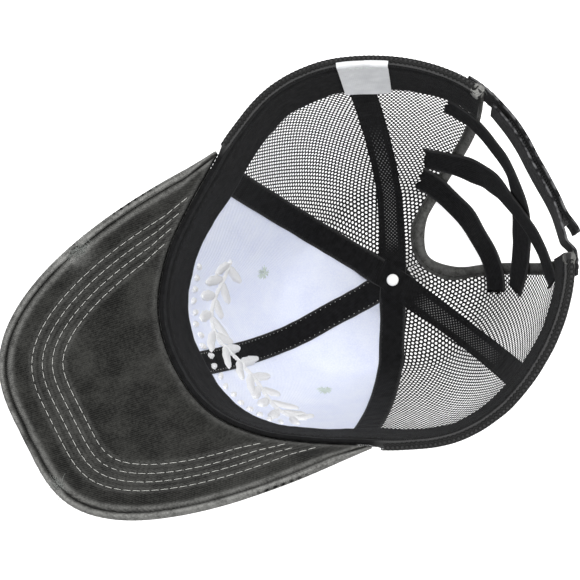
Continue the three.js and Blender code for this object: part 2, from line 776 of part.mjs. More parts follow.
buildPanels();
buildBackings();
buildTapes();
buildSweatband();
buildArchBinding();
buildButton();
buildBrim();
buildStrap();
buildElastics();
buildLabel();
buildEyelets();

export default cap;
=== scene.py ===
# A ponytail baseball cap lying on its crown: cloth, net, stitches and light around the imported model.
# Lengths are in millimetres until a mesh is made. Angles round the crown start at the brim.
import math

import bpy
import numpy as np
from mathutils import Matrix, Vector


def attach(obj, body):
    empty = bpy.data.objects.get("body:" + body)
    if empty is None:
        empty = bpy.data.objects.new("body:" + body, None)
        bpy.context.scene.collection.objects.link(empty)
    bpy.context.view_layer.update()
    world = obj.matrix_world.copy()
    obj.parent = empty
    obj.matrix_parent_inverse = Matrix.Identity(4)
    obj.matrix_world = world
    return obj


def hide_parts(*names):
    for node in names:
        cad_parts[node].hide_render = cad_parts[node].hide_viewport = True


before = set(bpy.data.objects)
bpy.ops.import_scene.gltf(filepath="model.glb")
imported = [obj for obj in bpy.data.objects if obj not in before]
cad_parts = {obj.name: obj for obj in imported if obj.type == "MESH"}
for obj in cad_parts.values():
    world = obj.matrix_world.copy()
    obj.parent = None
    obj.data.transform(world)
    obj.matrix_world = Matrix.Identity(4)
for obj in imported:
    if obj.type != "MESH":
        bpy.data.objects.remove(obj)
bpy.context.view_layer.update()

# The crown's shape
RIM_HALF_LENGTH, RIM_HALF_WIDTH, CROWN_DEPTH = 95.0, 89.0, 117.5
FRONT_PROFILE = (66.0, 1.5)
BACK_PROFILE = (50.0, 1.3)
REST_FLATTENING, REST_SOFTNESS, PANEL_BULGE = 16.0, 5.0, 1.8
FLOOR_LEVEL, RECESS_DEPTH, RECESS_FROM, RECESS_TO = 1.0, 4.0, 7.4, 20.0
FRONT_SEAM, REAR_SEAM = 60.0, 115.0
RIM_SHAPE = np.array([
    (0, 1.047), (15, 1.032), (30, 0.973), (45, 0.917), (60, 0.902), (75, 0.94), (90, 0.997),
    (105, 1.018), (120, 1.01), (135, 1.002), (150, 0.99), (165, 0.954), (180, 0.926),
])

# The opening, the brim, the straps and the elastic bands
ARCH_ANGLE, ARCH_TOP, ARCH_ROUND = 26.0, 21.0, 38.0
BINDING_WIDTH, BINDING_THICKNESS, BINDING_SEAM = 5.6, 2.6, 4.2
ARCH_LEAN, LEAN_FROM, LEAN_TO = 8.5, 35.0, 85.0
BRIM_END, BRIM_REACH, BRIM_SLOPE, BRIM_ARCH = 65.0, 72.0, 20.0, 39.0
BRIM_MARGIN, BRIM_ROOT, BRIM_UPRIGHT = 1.5, 0.3, 12.0
BRIM_REACH_POWER, BRIM_WIDTH_POWER, BRIM_TAPER = 0.82, 0.63, 0.075
LIP_WIDTH = 3.2
STITCH_ROWS = (14.6, 19.4, 24.0, 28.8)
TAPE_WIDTH, TAPE_THICKNESS, SWEATBAND_HEIGHT = 12.5, 0.7, 30.0
NET_PITCH, HOLE_RADIUS, THREAD_HALF = 2.1, 0.64, 0.15
STRAP_WIDTH, STRAP_DROP, HOOK_SPAN = 18.0, 1.0, (-18, 16)
ELASTICS = {
    "elastic_band_top": (37.5, -34, (0.34, 0.36, 0.375, 0.65, 0.79), None),
    "elastic_band_middle": (44.5, -33, (0.8, 0.735, 0.535, 0.44, 0.34), 0.66),
    "elastic_band_low": (46, -35, (0.915, 0.95, 0.93, 0.925, 0.925), None),
}
ELASTIC_WIDTH, ELASTIC_LEVEL, ELASTIC_PASS = 16.0, 2.0, 1.5
LABEL_ANGLE, LABEL_WIDTH, LABEL_HEIGHT = -118.2, 24.0, 30.0
EYELET_ANGLE, EYELET_DISTANCE = 31.5, 63.0

SIDES = (("right", 1), ("left", -1))
BUTTON_HOLE = 2.2
BAND_TOP = SWEATBAND_HEIGHT + 0.3
NET_ROW = NET_PITCH * math.sqrt(3) / 2

rng = np.random.default_rng(7)


# Numbers

def lerp(low, high, share):
    return low + (high - low) * share


def smoothstep(x, low, high):
    share = np.clip((np.asarray(x, float) - low) / (high - low), 0, 1)
    return share * share * (3 - 2 * share)


def hump(x, middle, width):
    """A smooth rise to 1 at the middle."""
    return np.exp(-((x - middle) / width) ** 2)


def quarter_round(share):
    """How high a rounded edge stands at a share of its width."""
    return np.sqrt(1 - (1 - share) ** 2)


def hermite(knots, values, x):
    """Smooth interpolation, level at both ends."""
    knots, values = np.asarray(knots, float), np.asarray(values, float)
    slopes = np.zeros(len(knots))
    slopes[1:-1] = (values[2:] - values[:-2]) / (knots[2:] - knots[:-2])
    k = np.clip(np.searchsorted(knots, x, side="left") - 1, 0, len(knots) - 2)
    span = knots[k + 1] - knots[k]
    s = (x - knots[k]) / span
    rise = values[k + 1] - values[k]
    first, second = slopes[k] * span - rise, rise - slopes[k + 1] * span
    return values[k] + rise * s + s * (1 - s) * (first * (1 - s) + second * s)


def stepped(values, s):
    """A smooth value through numbers at even steps of s from 0 to 1."""
    values = np.asarray(values, float)
    last = len(values) - 1
    slopes = np.array([(values[min(last, k + 1)] - values[max(0, k - 1)]) / 2 for k in range(last + 1)])
    k = np.clip(np.floor(s * last).astype(int), 0, last - 1)
    a = s * last - k
    rise = values[k + 1] - values[k]
    first, second = slopes[k] - rise, rise - slopes[k + 1]
    return values[k] + rise * a + a * (1 - a) * (first * (1 - a) + second * a)


def ripple(x, y, seed, size):
    """A smooth irregular value between about -1 and 1 over lengths of about size."""
    local = np.random.default_rng(seed)
    total = 0
    for _ in range(7):
        turn, shift = local.uniform(0, 2 * np.pi, 2)
        rate = 2 * np.pi / (size * local.uniform(0.6, 1.6))
        total = total + np.sin((x * math.cos(turn) + y * math.sin(turn)) * rate + shift)
    return total / 4


# The crown as a surface over an angle and t, which runs from 0 at the button to 1 at the rim

def run(points):
    """The distance along a line at each of its points."""
    return np.concatenate([[0], np.cumsum(np.linalg.norm(np.diff(points, axis=0), axis=1))])


def from_front(phi):
    return np.abs((phi + np.pi) % (2 * np.pi) - np.pi)


def rim_radius(phi):
    turn = from_front(phi)
    ellipse = 1 / np.hypot(np.cos(turn) / RIM_HALF_LENGTH, np.sin(turn) / RIM_HALF_WIDTH)
    return ellipse * hermite(RIM_SHAPE[:, 0], RIM_SHAPE[:, 1], np.degrees(turn))


BRIM_TURN = math.radians(BRIM_END)
FRONT_RADIUS = float(rim_radius(0.0))
END_X = float(rim_radius(BRIM_TURN)) * math.cos(BRIM_TURN)
END_Y = float(rim_radius(BRIM_TURN)) * math.sin(BRIM_TURN)
BRIM_HALF = END_Y + BRIM_MARGIN


def brim_rise(x, y):
    return math.tan(math.radians(BRIM_SLOPE)) * (x - FRONT_RADIUS) + BRIM_ARCH * (y / BRIM_HALF) ** 2


FRONT_HEIGHT = CROWN_DEPTH - brim_rise(END_X, END_Y)


def rim_height(phi):
    radius = rim_radius(phi)
    at_brim = FRONT_HEIGHT + brim_rise(radius * np.cos(phi), radius * np.sin(phi))
    level = smoothstep(from_front(phi), math.radians(BRIM_END - 5), math.radians(BRIM_END + 10))
    return lerp(at_brim, CROWN_DEPTH, level)


APEX_LEVEL = FLOOR_LEVEL - REST_FLATTENING


def profile(phi):
    to_back = smoothstep(from_front(phi), math.radians(20), math.radians(100))
    sweep = np.radians(lerp(FRONT_PROFILE[0], BACK_PROFILE[0], to_back))
    return sweep, lerp(FRONT_PROFILE[1], BACK_PROFILE[1], to_back)


def height_share(phi, t):
    sweep, squareness = profile(phi)
    return (np.maximum(0, 1 - np.cos(t * sweep)) / (1 - np.cos(sweep))) ** squareness


def t_at_radius(phi, radius):
    sweep, _ = profile(phi)
    return np.arcsin(np.clip(radius / rim_radius(phi) * np.sin(sweep), -1, 1)) / sweep


def t_at_drop(phi, drop):
    sweep, squareness = profile(phi)
    share = np.maximum(0, 1 - drop / (rim_height(phi) - APEX_LEVEL))
    return np.arccos(1 - share ** (1 / squareness) * (1 - np.cos(sweep))) / sweep


def bulge(phi, t):
    seams = np.radians([0, FRONT_SEAM, REAR_SEAM, 180])
    turn = from_front(phi)
    k = np.clip(np.searchsorted(seams, turn, side="left"), 1, 3)
    across = (turn - seams[k - 1]) / (seams[k] - seams[k - 1])
    upwards = np.maximum(0, np.sin(np.pi * np.minimum(height_share(phi, t), 1)))
    return PANEL_BULGE * np.sin(np.pi * across) ** 2 * upwards


def crown(phi, t):
    phi, t = np.broadcast_arrays(np.asarray(phi, float), np.asarray(t, float))
    sweep, _ = profile(phi)
    radius = rim_radius(phi) * np.sin(t * sweep) / np.sin(sweep) + bulge(phi, t)
    free = APEX_LEVEL + (rim_height(phi) - APEX_LEVEL) * height_share(phi, t)
    above = np.clip(free - FLOOR_LEVEL, -REST_SOFTNESS, None)
    curved = FLOOR_LEVEL + (above + REST_SOFTNESS) ** 2 / (4 * REST_SOFTNESS)
    pressed = np.where(above >= REST_SOFTNESS, free, curved)
    over_button = RECESS_DEPTH * (1 - smoothstep(radius, RECESS_FROM, RECESS_TO))
    return np.stack([radius * np.cos(phi), radius * np.sin(phi), pressed + over_button], axis=-1)


def unit(vectors):
    return vectors / np.maximum(np.linalg.norm(vectors, axis=-1, keepdims=True), 1e-12)


def crown_frame(phi, t):
    """The slopes of the surface with the angle and with t, and its outward direction."""
    step = 1e-3
    around = (crown(phi + step, t) - crown(phi - step, t)) / (2 * step)
    upwards = (crown(phi, t + step) - crown(phi, t - step)) / (2 * step)
    return around, upwards, unit(np.cross(around, upwards))


def layer(phi, t, offset):
    offset = np.asarray(offset, float)
    return crown(phi, t) + crown_frame(phi, t)[2] * offset[..., None]


def arch_turn(radius, sign):
    """How far the opening's middle leans towards the wearer's left, for its right or its left half."""
    return sign * math.radians(ARCH_LEAN) * (1 - smoothstep(radius, LEAN_FROM, LEAN_TO))


def arch_half_angle(radius, margin):
    top, rounded = ARCH_TOP - margin, ARCH_ROUND - margin
    full = math.radians(ARCH_ANGLE) + margin / np.maximum(radius, 1e-6)
    inside = np.clip((rounded - radius) / (rounded - top), 0, 1)
    return np.where(radius <= top, 0, full * np.sqrt(1 - inside ** 2))


# Meshes

def add_object(name, points, faces, material, weave=None, wear_and_painted_light=None):
    """A mesh object from points in millimetres. weave is the cloth's plan in millimetres."""
    points = np.asarray(points, float).reshape(-1, 3) / 1000
    mesh = bpy.data.meshes.new(name)
    if isinstance(faces, np.ndarray):
        count, corners = faces.shape
        mesh.vertices.add(len(points))
        mesh.vertices.foreach_set("co", points.ravel())
        mesh.loops.add(count * corners)
        mesh.loops.foreach_set("vertex_index", np.ascontiguousarray(faces).ravel().astype(np.int32))
        mesh.polygons.add(count)
        mesh.polygons.foreach_set("loop_start", np.arange(0, count * corners, corners, dtype=np.int32))
        mesh.update(calc_edges=True)
    else:
        mesh.from_pydata(points.tolist(), [], faces)
    mesh.polygons.foreach_set("use_smooth", np.ones(len(mesh.polygons), bool))
    mesh.materials.append(material)
    loop_points = np.empty(len(mesh.loops), np.int32)
    mesh.loops.foreach_get("vertex_index", loop_points)
    if weave is not None:
        uv = mesh.uv_layers.new(name="weave")
        uv.data.foreach_set("uv", np.asarray(weave, float).reshape(-1, 2)[loop_points].ravel())
    # The point attribute holds wear, and on the sweatband's hem and the rear seam tapes it also holds painted
    # light.
    attribute = mesh.attributes.new("wear_and_painted_light", "FLOAT", "POINT")
    attribute.data.foreach_set("value", np.zeros(len(points)) if wear_and_painted_light is None else np.ravel(wear_and_painted_light))
    mesh.validate()
    mesh.update()
    piece = bpy.data.objects.new(name, mesh)
    bpy.context.scene.collection.objects.link(piece)
    return piece


def place(piece, slot, *nodes):
    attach(piece, "root")
    if nodes:
        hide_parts(*nodes)
    return piece


def rounded_stations(length, rounding, step):
    """Shares from 0 to 1 with extra ones near both ends, and how full the thickness is at each."""
    near = np.array([0, 0.06, 0.25, 0.6, 1.0]) * rounding / length
    inner = max(2, int(round((length - 2 * rounding) / step)))
    middle = np.linspace(near[-1], 1 - near[-1], inner + 1)[1:-1]
    shares = np.concatenate([near, middle, 1 - near[::-1]])
    depth = np.minimum(np.minimum(shares, 1 - shares) * length / rounding, 1)
    return shares, quarter_round(depth)


def grid_quads(index, flip=False):
    """The faces between the neighbours of a grid of point numbers."""
    corners = [index[:-1, :-1], index[1:, :-1], index[1:, 1:], index[:-1, 1:]]
    return np.stack(corners[::-1] if flip else corners, axis=-1).reshape(-1, 4)


def sheet(name, size, lift, material, rounding=0.5, step=1.5, wear_and_painted_light=None):
    """A sheet with rounded edges. lift(u, v) gives its middle, its direction and half its thickness."""
    u, u_full = rounded_stations(size[0], rounding, step)
    v, v_full = rounded_stations(size[1], rounding, step)
    grid_u, grid_v = np.meshgrid(u, v, indexing="ij")
    middle, direction, half = lift(grid_u, grid_v)
    half = half * np.minimum.outer(u_full, v_full)
    border = np.zeros(grid_u.shape, bool)
    border[[0, -1], :] = True
    border[:, [0, -1]] = True
    top = np.arange(grid_u.size).reshape(grid_u.shape)
    under = top.copy()
    under[~border] = grid_u.size + np.arange((~border).sum())
    upper_points = middle + direction * half[..., None]
    lower_points = middle - direction * half[..., None]
    upper_points[border] = middle[border]
    points = np.concatenate([upper_points.reshape(-1, 3), lower_points[~border]])
    faces = np.concatenate([grid_quads(top), grid_quads(under, True)])
    plan = np.stack([grid_u * size[0], grid_v * size[1]], axis=-1)
    weave = np.concatenate([plan.reshape(-1, 2), plan[~border]])
    worn_and_painted_light = np.zeros(grid_u.shape) if wear_and_painted_light is None else wear_and_painted_light(grid_u, grid_v)
    worn_and_painted_light = np.concatenate([worn_and_painted_light.ravel(), worn_and_painted_light[~border]])
    return add_object(name, points, faces, material, weave, worn_and_painted_light)


def tube(loops):
    """Points and faces of a closed skin through loops of equal length, with a cap at each end."""
    loops = np.asarray(loops, float)
    sections, around = loops.shape[:2]
    index = np.arange(sections * around).reshape(sections, around)
    after = np.roll(index, -1, axis=1)
    faces = np.stack([index[:-1], after[:-1], after[1:], index[1:]], axis=-1).reshape(-1, 4).tolist()
    faces.append(index[0, ::-1].tolist())
    faces.append(index[-1].tolist())
    return loops.reshape(-1, 3), faces


def band_outline(width, thickness, step=1.6):
    """A flat rounded outline: places across, and places through the thickness."""
    half, radius = width / 2, thickness / 2
    inner = np.linspace(-half + radius, half - radius, max(3, int(width / step)) + 1)
    bend = np.radians([60, 30, 0, -30, -60])
    end = half - radius + radius * np.cos(bend)
    flat, bent = np.full(len(inner), radius), radius * np.sin(bend)
    across = np.concatenate([inner, end, inner[::-1], -end[::-1]])
    through = np.concatenate([flat, bent, -flat, bent[::-1]])
    return across, through


def band(name, phi, t, width, level, thickness, material, end_shift=None, wear_and_painted_light=None, flutter=0.0, seed=1):
    """A band of cloth that follows a path on the crown at a level from its base surface."""
    across, through = band_outline(width, thickness)
    around, upwards, normal = crown_frame(phi, t)
    along = unit(np.gradient(crown(phi, t), axis=0))
    side = np.cross(normal, along)
    distance = run(crown(phi, t))
    step = side[:, None, :] * across[None, :, None]
    if end_shift is not None:
        shift = end_shift(across)
        step[0] -= along[0] * shift[:, None]
        step[-1] += along[-1] * shift[::-1][:, None]
    d_phi = (step * around[:, None, :]).sum(-1) / (around ** 2).sum(-1)[:, None]
    d_t = (step * upwards[:, None, :]).sum(-1) / (upwards ** 2).sum(-1)[:, None]
    levels = np.broadcast_to(np.asarray(level, float).reshape(-1, 1), d_phi.shape) + through[None, :]
    if flutter:
        levels = levels + flutter * ripple(distance[:, None], across[None, :] * 1.5, seed, 16)
    loops = layer(phi[:, None] + d_phi, t[:, None] + d_t, levels)
    points, faces = tube(loops)
    weave = np.stack(np.broadcast_arrays(distance[:, None], across[None, :] + width / 2), axis=-1)
    worn_and_painted_light = np.broadcast_to(wear_and_painted_light(distance[:, None], across[None, :]), d_phi.shape) if wear_and_painted_light else None
    return add_object(name, points, faces, material, weave, worn_and_painted_light)


def resample(points, step, start=0.0):
    """Points at even steps along a line, and their directions."""
    length = run(points)
    at = np.arange(start, length[-1], step)
    return np.stack([np.interp(at, length, points[:, k]) for k in range(points.shape[1])], axis=-1)


STITCH_RING = np.array([(math.cos(a), math.sin(a)) for a in np.radians([0, 60, 120, 180, 240, 300])])


def stitch_mesh(starts, ends, normals, radius, arch=0.6):
    """Short rounded threads from each start to each end, arched away from the cloth."""
    along = unit(ends - starts)
    side = unit(np.cross(normals, along))
    points = []
    rings = [(0.0, 0.35, -0.6), (0.15, 0.85, 0.2), (0.5, 1.0, arch), (0.85, 0.85, 0.2), (1.0, 0.35, -0.6)]
    for share, size, lift in rings:
        centre = starts + (ends - starts) * share + normals * lift * radius
        ring = centre[:, None, :] + radius * size * (
            side[:, None, :] * STITCH_RING[None, :, :1] + normals[:, None, :] * STITCH_RING[None, :, 1:])
        points.append(ring)
    points = np.stack(points, axis=1)
    count = len(starts)
    index = np.arange(count * 30).reshape(count, 5, 6)
    after = np.roll(index, -1, axis=2)
    quads = np.stack([index[:, :-1], after[:, :-1], after[:, 1:], index[:, 1:]], axis=-1).reshape(-1, 4)
    caps = np.concatenate([index[:, 0, [3, 2, 1, 0]], index[:, 0, [5, 4, 3, 0]],
                           index[:, 4, [0, 1, 2, 3]], index[:, 4, [0, 3, 4, 5]]])
    return points.reshape(-1, 3), np.concatenate([quads, caps])


def sew(name, lines, length, gap, radius, material):
    """Rows of stitches. Each line is a pair of arrays: points on the cloth and directions out of it."""
    starts, ends, normals = [], [], []
    for points, directions in lines:
        packed = np.concatenate([points, directions], axis=1)
        for share in (0, 1):
            rows = resample(packed, length + gap, start=gap + share * length)
            (ends if share else starts).append(rows[:, :3])
            if share:
                normals.append(unit(rows[:, 3:]))
        least = min(len(starts[-1]), len(ends[-1]))
        starts[-1], ends[-1], normals[-1] = starts[-1][:least], ends[-1][:least], normals[-1][:least]
    points, faces = stitch_mesh(np.concatenate(starts), np.concatenate(ends), np.concatenate(normals), radius)
    place(add_object(name, points, faces, material), "thread")


def crown_line(phi, t, level, inside):
    """A line on the crown for stitches, which face inwards or outwards."""
    normal = crown_frame(phi, t)[2]
    return layer(phi, t, np.full(len(phi), level)), -normal if inside else normal


# Materials

class Nodes:
    """Short names for the nodes of one material."""

    def __init__(self, name):
        self.material = bpy.data.materials.new(name)
        self.material.use_nodes = True
        self.tree = self.material.node_tree
        self.shader = self.tree.nodes["Principled BSDF"]

    def link(self, value, socket):
        if hasattr(value, "links"):
            self.tree.links.new(value, socket)
        else:
            socket.default_value = value

    def node(self, kind, **inputs):
        made = self.tree.nodes.new(kind)
        for name, value in inputs.items():
            self.link(value, made.inputs[name])
        return made

    def math(self, operation, first, second=0.0):
        made = self.tree.nodes.new("ShaderNodeMath")
        made.operation = operation
        self.link(first, made.inputs[0])
        self.link(second, made.inputs[1])
        return made.outputs[0]

    def add(self, first, second):
        return self.math("ADD", first, second)

    def times(self, first, second):
        return self.math("MULTIPLY", first, second)

    def most(self, value):
        """A share held to 1 at most."""
        return self.math("MINIMUM", value, 1.0)

    def mix(self, share, first, second):
        made = self.tree.nodes.new("ShaderNodeMix")
        made.data_type = "RGBA"
        self.link(share, made.inputs[0])
        for value, socket in ((first, made.inputs[6]), (second, made.inputs[7])):
            self.link((*value, 1) if isinstance(value, tuple) else value, socket)
        return made.outputs[2]

    def plan(self):
        """The cloth's own plan in millimetres: along, across."""
        made = self.tree.nodes.new("ShaderNodeUVMap")
        made.uv_map = "weave"
        parts = self.node("ShaderNodeSeparateXYZ", Vector=made.outputs[0])
        return parts.outputs[0], parts.outputs[1]

    def noise(self, size, detail=3.0):
        """Cloudy noise between 0 and 1 with features of about size in metres."""
        where = self.tree.nodes.new("ShaderNodeTexCoord")
        made = self.node("ShaderNodeTexNoise", Vector=where.outputs["Object"], Scale=1 / size, Detail=detail)
        return made.outputs[0]

    def spread(self, value, low, high):
        """A value stretched so that low becomes 0 and high becomes 1."""
        made = self.node("ShaderNodeMapRange", **{"Value": value, "From Min": low, "From Max": high})
        return made.outputs[0]

    def wave(self, value, period):
        return self.math("SINE", self.times(value, 2 * math.pi / period))

    # Reads the point attribute: wear, and in places painted light.
    def wear_and_painted_light(self):
        made = self.tree.nodes.new("ShaderNodeAttribute")
        made.attribute_name = "wear_and_painted_light"
        return made.outputs["Fac"]

    def finish(self, colour, height, relief, **sockets):
        """The shader's colour, its bump with a relief in millimetres, and its other sockets."""
        self.link((*colour, 1) if isinstance(colour, tuple) else colour, self.shader.inputs["Base Color"])
        bump = self.node("ShaderNodeBump", Height=height, Strength=1.0, Distance=relief / 1000)
        self.link(bump.outputs[0], self.shader.inputs["Normal"])
        for name, value in sockets.items():
            self.link(value, self.shader.inputs[name.replace("_", " ")])
        return self.material


def twill_height(nodes, pitch):
    along, across = nodes.plan()
    diagonal = nodes.wave(nodes.add(along, across), pitch)
    threads = nodes.wave(nodes.math("SUBTRACT", along, nodes.times(across, 0.3)), pitch * 0.45)
    return nodes.add(diagonal, nodes.times(threads, 0.35))


def plain_height(nodes, pitch):
    along, across = nodes.plan()
    return nodes.times(nodes.wave(along, pitch), nodes.wave(across, pitch))


def washed_cotton():
    nodes = Nodes("washed_cotton")
    twill = twill_height(nodes, 1.15)
    clouds = nodes.noise(0.015, 6.0)
    specks = nodes.noise(0.0012, 5.0)
    patches = nodes.spread(nodes.add(clouds, nodes.times(specks, 0.75)), 0.72, 1.1)
    base = nodes.mix(patches, (0.0055, 0.0055, 0.005), (0.036, 0.036, 0.033))
    lined = nodes.mix(nodes.times(nodes.spread(twill, -0.4, 1.35), 0.42), base, (0.062, 0.062, 0.058))
    uneven = nodes.spread(nodes.add(specks, nodes.noise(0.005)), 0.72, 1.12)
    worn_and_painted_light = nodes.times(nodes.wear_and_painted_light(), nodes.add(nodes.times(uneven, 0.6), 0.4))
    colour = nodes.mix(nodes.most(worn_and_painted_light), lined, (0.23, 0.23, 0.22))
    return nodes.finish(colour, twill, 0.12, Roughness=0.95, Specular_IOR_Level=0.1, Sheen_Weight=0.03,
                        Sheen_Roughness=0.5)


def black_twill(name="black_twill_tape", over_net=False):
    nodes = Nodes(name)
    twill = twill_height(nodes, 0.95)
    folds = nodes.noise(0.007, 2.0)
    shade = nodes.spread(nodes.noise(0.0028, 5.0), 0.32, 0.72)
    base = nodes.mix(shade, (0.002, 0.002, 0.0022), (0.0085, 0.0085, 0.009))
    lined = nodes.mix(nodes.times(nodes.spread(twill, 0.0, 1.35), 0.5), base, (0.018, 0.018, 0.019))
    share = nodes.wear_and_painted_light()
    if over_net:
        # Over the net: light specks in a lattice, painted glints of the net's seam allowance under the tape.
        along, across = nodes.plan()
        net_glint_lattice = nodes.add(nodes.wave(nodes.add(along, across), 1.8),
                             nodes.wave(nodes.math("SUBTRACT", along, across), 1.8))
        share = nodes.times(share, nodes.spread(nodes.add(net_glint_lattice, nodes.noise(0.005)), 1.3, 2.1))
    # Light grey where the attribute is high: worn edges, and painted light where a net lies over or under the
    # cloth.
    colour = nodes.mix(nodes.most(share), lined, (0.2, 0.2, 0.2))
    height = nodes.add(nodes.times(twill, 0.07), folds)
    return nodes.finish(colour, height, 0.9, Roughness=0.9, Specular_IOR_Level=0.12, Sheen_Weight=0.03,
                        Sheen_Roughness=0.4)


def net_thread():
    nodes = Nodes("net_thread")
    fibres = nodes.noise(0.0004, 2.0)
    colour = nodes.mix(nodes.noise(0.01), (0.0035, 0.0035, 0.0035), (0.009, 0.009, 0.009))
    return nodes.finish(colour, fibres, 0.06, Roughness=0.6, Specular_IOR_Level=0.22)


def buckram():
    nodes = Nodes("buckram")
    weave = plain_height(nodes, 1.15)
    clouds = nodes.spread(nodes.noise(0.012, 4.0), 0.3, 0.75)
    fibres = nodes.spread(nodes.noise(0.0007, 3.0), 0.35, 0.68)
    base = nodes.mix(clouds, (0.76, 0.80, 0.96), (0.86, 0.895, 0.99))
    lined = nodes.mix(nodes.times(nodes.spread(weave, -1, 1), 0.4), base, (0.60, 0.645, 0.83))
    colour = nodes.mix(nodes.times(fibres, 0.35), lined, (0.94, 0.96, 1.0))
    return nodes.finish(colour, weave, 0.1, Roughness=0.95, Specular_IOR_Level=0.2)


def elastic():
    nodes = Nodes("elastic")
    along, across = nodes.plan()
    ribs = nodes.wave(across, 1.25)
    picks = nodes.wave(along, 0.8)
    fibres = nodes.noise(0.0016, 4.0)
    height = nodes.add(nodes.times(ribs, 0.6), nodes.times(picks, 0.4))
    shade = nodes.spread(nodes.add(fibres, nodes.times(ribs, 0.1)), 0.3, 0.75)
    colour = nodes.mix(shade, (0.003, 0.003, 0.0035), (0.012, 0.012, 0.0125))
    worn_and_painted_light = nodes.mix(nodes.most(nodes.wear_and_painted_light()), colour, (0.05, 0.05, 0.05))
    return nodes.finish(worn_and_painted_light, height, 0.08, Roughness=0.85, Specular_IOR_Level=0.15)


def strap_nap():
    nodes = Nodes("strap_nap")
    fuzz = nodes.noise(0.0011, 4.0)
    tufts = nodes.noise(0.003, 4.0)
    height = nodes.add(fuzz, nodes.times(tufts, 0.6))
    base = nodes.mix(nodes.spread(fuzz, 0.35, 0.7), (0.0035, 0.0035, 0.004), (0.016, 0.016, 0.017))
    speckled = nodes.spread(nodes.add(tufts, nodes.times(nodes.wear_and_painted_light(), 0.32)), 0.62, 0.82)
    worn_and_painted_light = nodes.times(nodes.wear_and_painted_light(), speckled)
    colour = nodes.mix(nodes.most(worn_and_painted_light), base, (0.15, 0.15, 0.155))
    return nodes.finish(colour, height, 0.35, Roughness=0.95, Specular_IOR_Level=0.1, Sheen_Weight=0.06)


def hook_plastic():
    nodes = Nodes("hook_tape")
    along, across = nodes.plan()
    rows = nodes.times(nodes.wave(along, 1.3), nodes.wave(across, 1.1))
    colour = nodes.mix(nodes.spread(rows, -1, 1), (0.002, 0.002, 0.002), (0.013, 0.013, 0.014))
    return nodes.finish(colour, rows, 0.5, Roughness=0.5, Specular_IOR_Level=0.3)


def satin_label():
    nodes = Nodes("satin_label")
    along, across = nodes.plan()
    threads = nodes.add(nodes.wave(across, 0.42), nodes.times(nodes.wave(along, 0.9), 0.3))
    creases = nodes.noise(0.009, 2.0)
    height = nodes.add(nodes.times(threads, 0.05), creases)
    colour = nodes.mix(nodes.spread(nodes.noise(0.006), 0.3, 0.7), (0.58, 0.59, 0.605), (0.70, 0.71, 0.72))
    return nodes.finish(colour, height, 0.6, Roughness=0.42, Sheen_Weight=0.1)


def thread(name, colour, dark, period=0.5):
    nodes = Nodes(name)
    along, across = nodes.plan()
    strands = nodes.wave(nodes.add(across, nodes.times(along, 0.25)), period)
    fuzz = nodes.noise(0.0012, 3.0)
    shade = nodes.mix(nodes.spread(nodes.add(strands, fuzz), -0.9, 1.2), dark, colour)
    return nodes.finish(shade, nodes.add(strands, fuzz), 0.12, Roughness=0.6, Specular_IOR_Level=0.25)


def painted_rivet():
    nodes = Nodes("painted_rivet")
    colour = nodes.mix(nodes.noise(0.002), (0.80, 0.80, 0.79), (0.88, 0.88, 0.87))
    return nodes.finish(colour, nodes.noise(0.0008), 0.02, Roughness=0.32, Coat_Weight=0.2)


def floor_paper():
    nodes = Nodes("floor_paper")
    grain = nodes.noise(0.003, 3.0)
    return nodes.finish((0.86, 0.86, 0.86), grain, 0.02, Roughness=0.95, Emission_Color=(1, 1, 1, 1),
                        Emission_Strength=0.55)


COTTON, TWILL, NET, BUCKRAM = washed_cotton(), black_twill(), net_thread(), buckram()
ELASTIC, NAP, HOOKS, LABEL, RIVET = elastic(), strap_nap(), hook_plastic(), satin_label(), painted_rivet()
NET_TAPE = black_twill("tape_over_net", over_net=True)
PALE_THREAD = thread("pale_thread", (0.58, 0.58, 0.55), (0.3, 0.3, 0.285))
WHITE_SILK = thread("white_silk", (0.97, 0.97, 0.97), (0.66, 0.66, 0.68), 0.6)
GREY_THREAD = thread("grey_thread", (0.20, 0.21, 0.20), (0.10, 0.11, 0.10))
SAGE_THREAD = thread("sage_thread", (0.64, 0.71, 0.67), (0.44, 0.51, 0.47))
DARK_THREAD = thread("dark_thread", (0.016, 0.016, 0.016), (0.006, 0.006, 0.006))

# The net: threads round six-sided holes, cut off at the seams and the rim

def hole_middles(rows, columns):
    """Places of the net's holes for numbered rows and columns, every other row moved by half a hole."""
    row, column = np.meshgrid(rows, columns, indexing="ij")
    return ((column + 0.5 * (row % 2)) * NET_PITCH).ravel(), (row * NET_ROW).ravel()


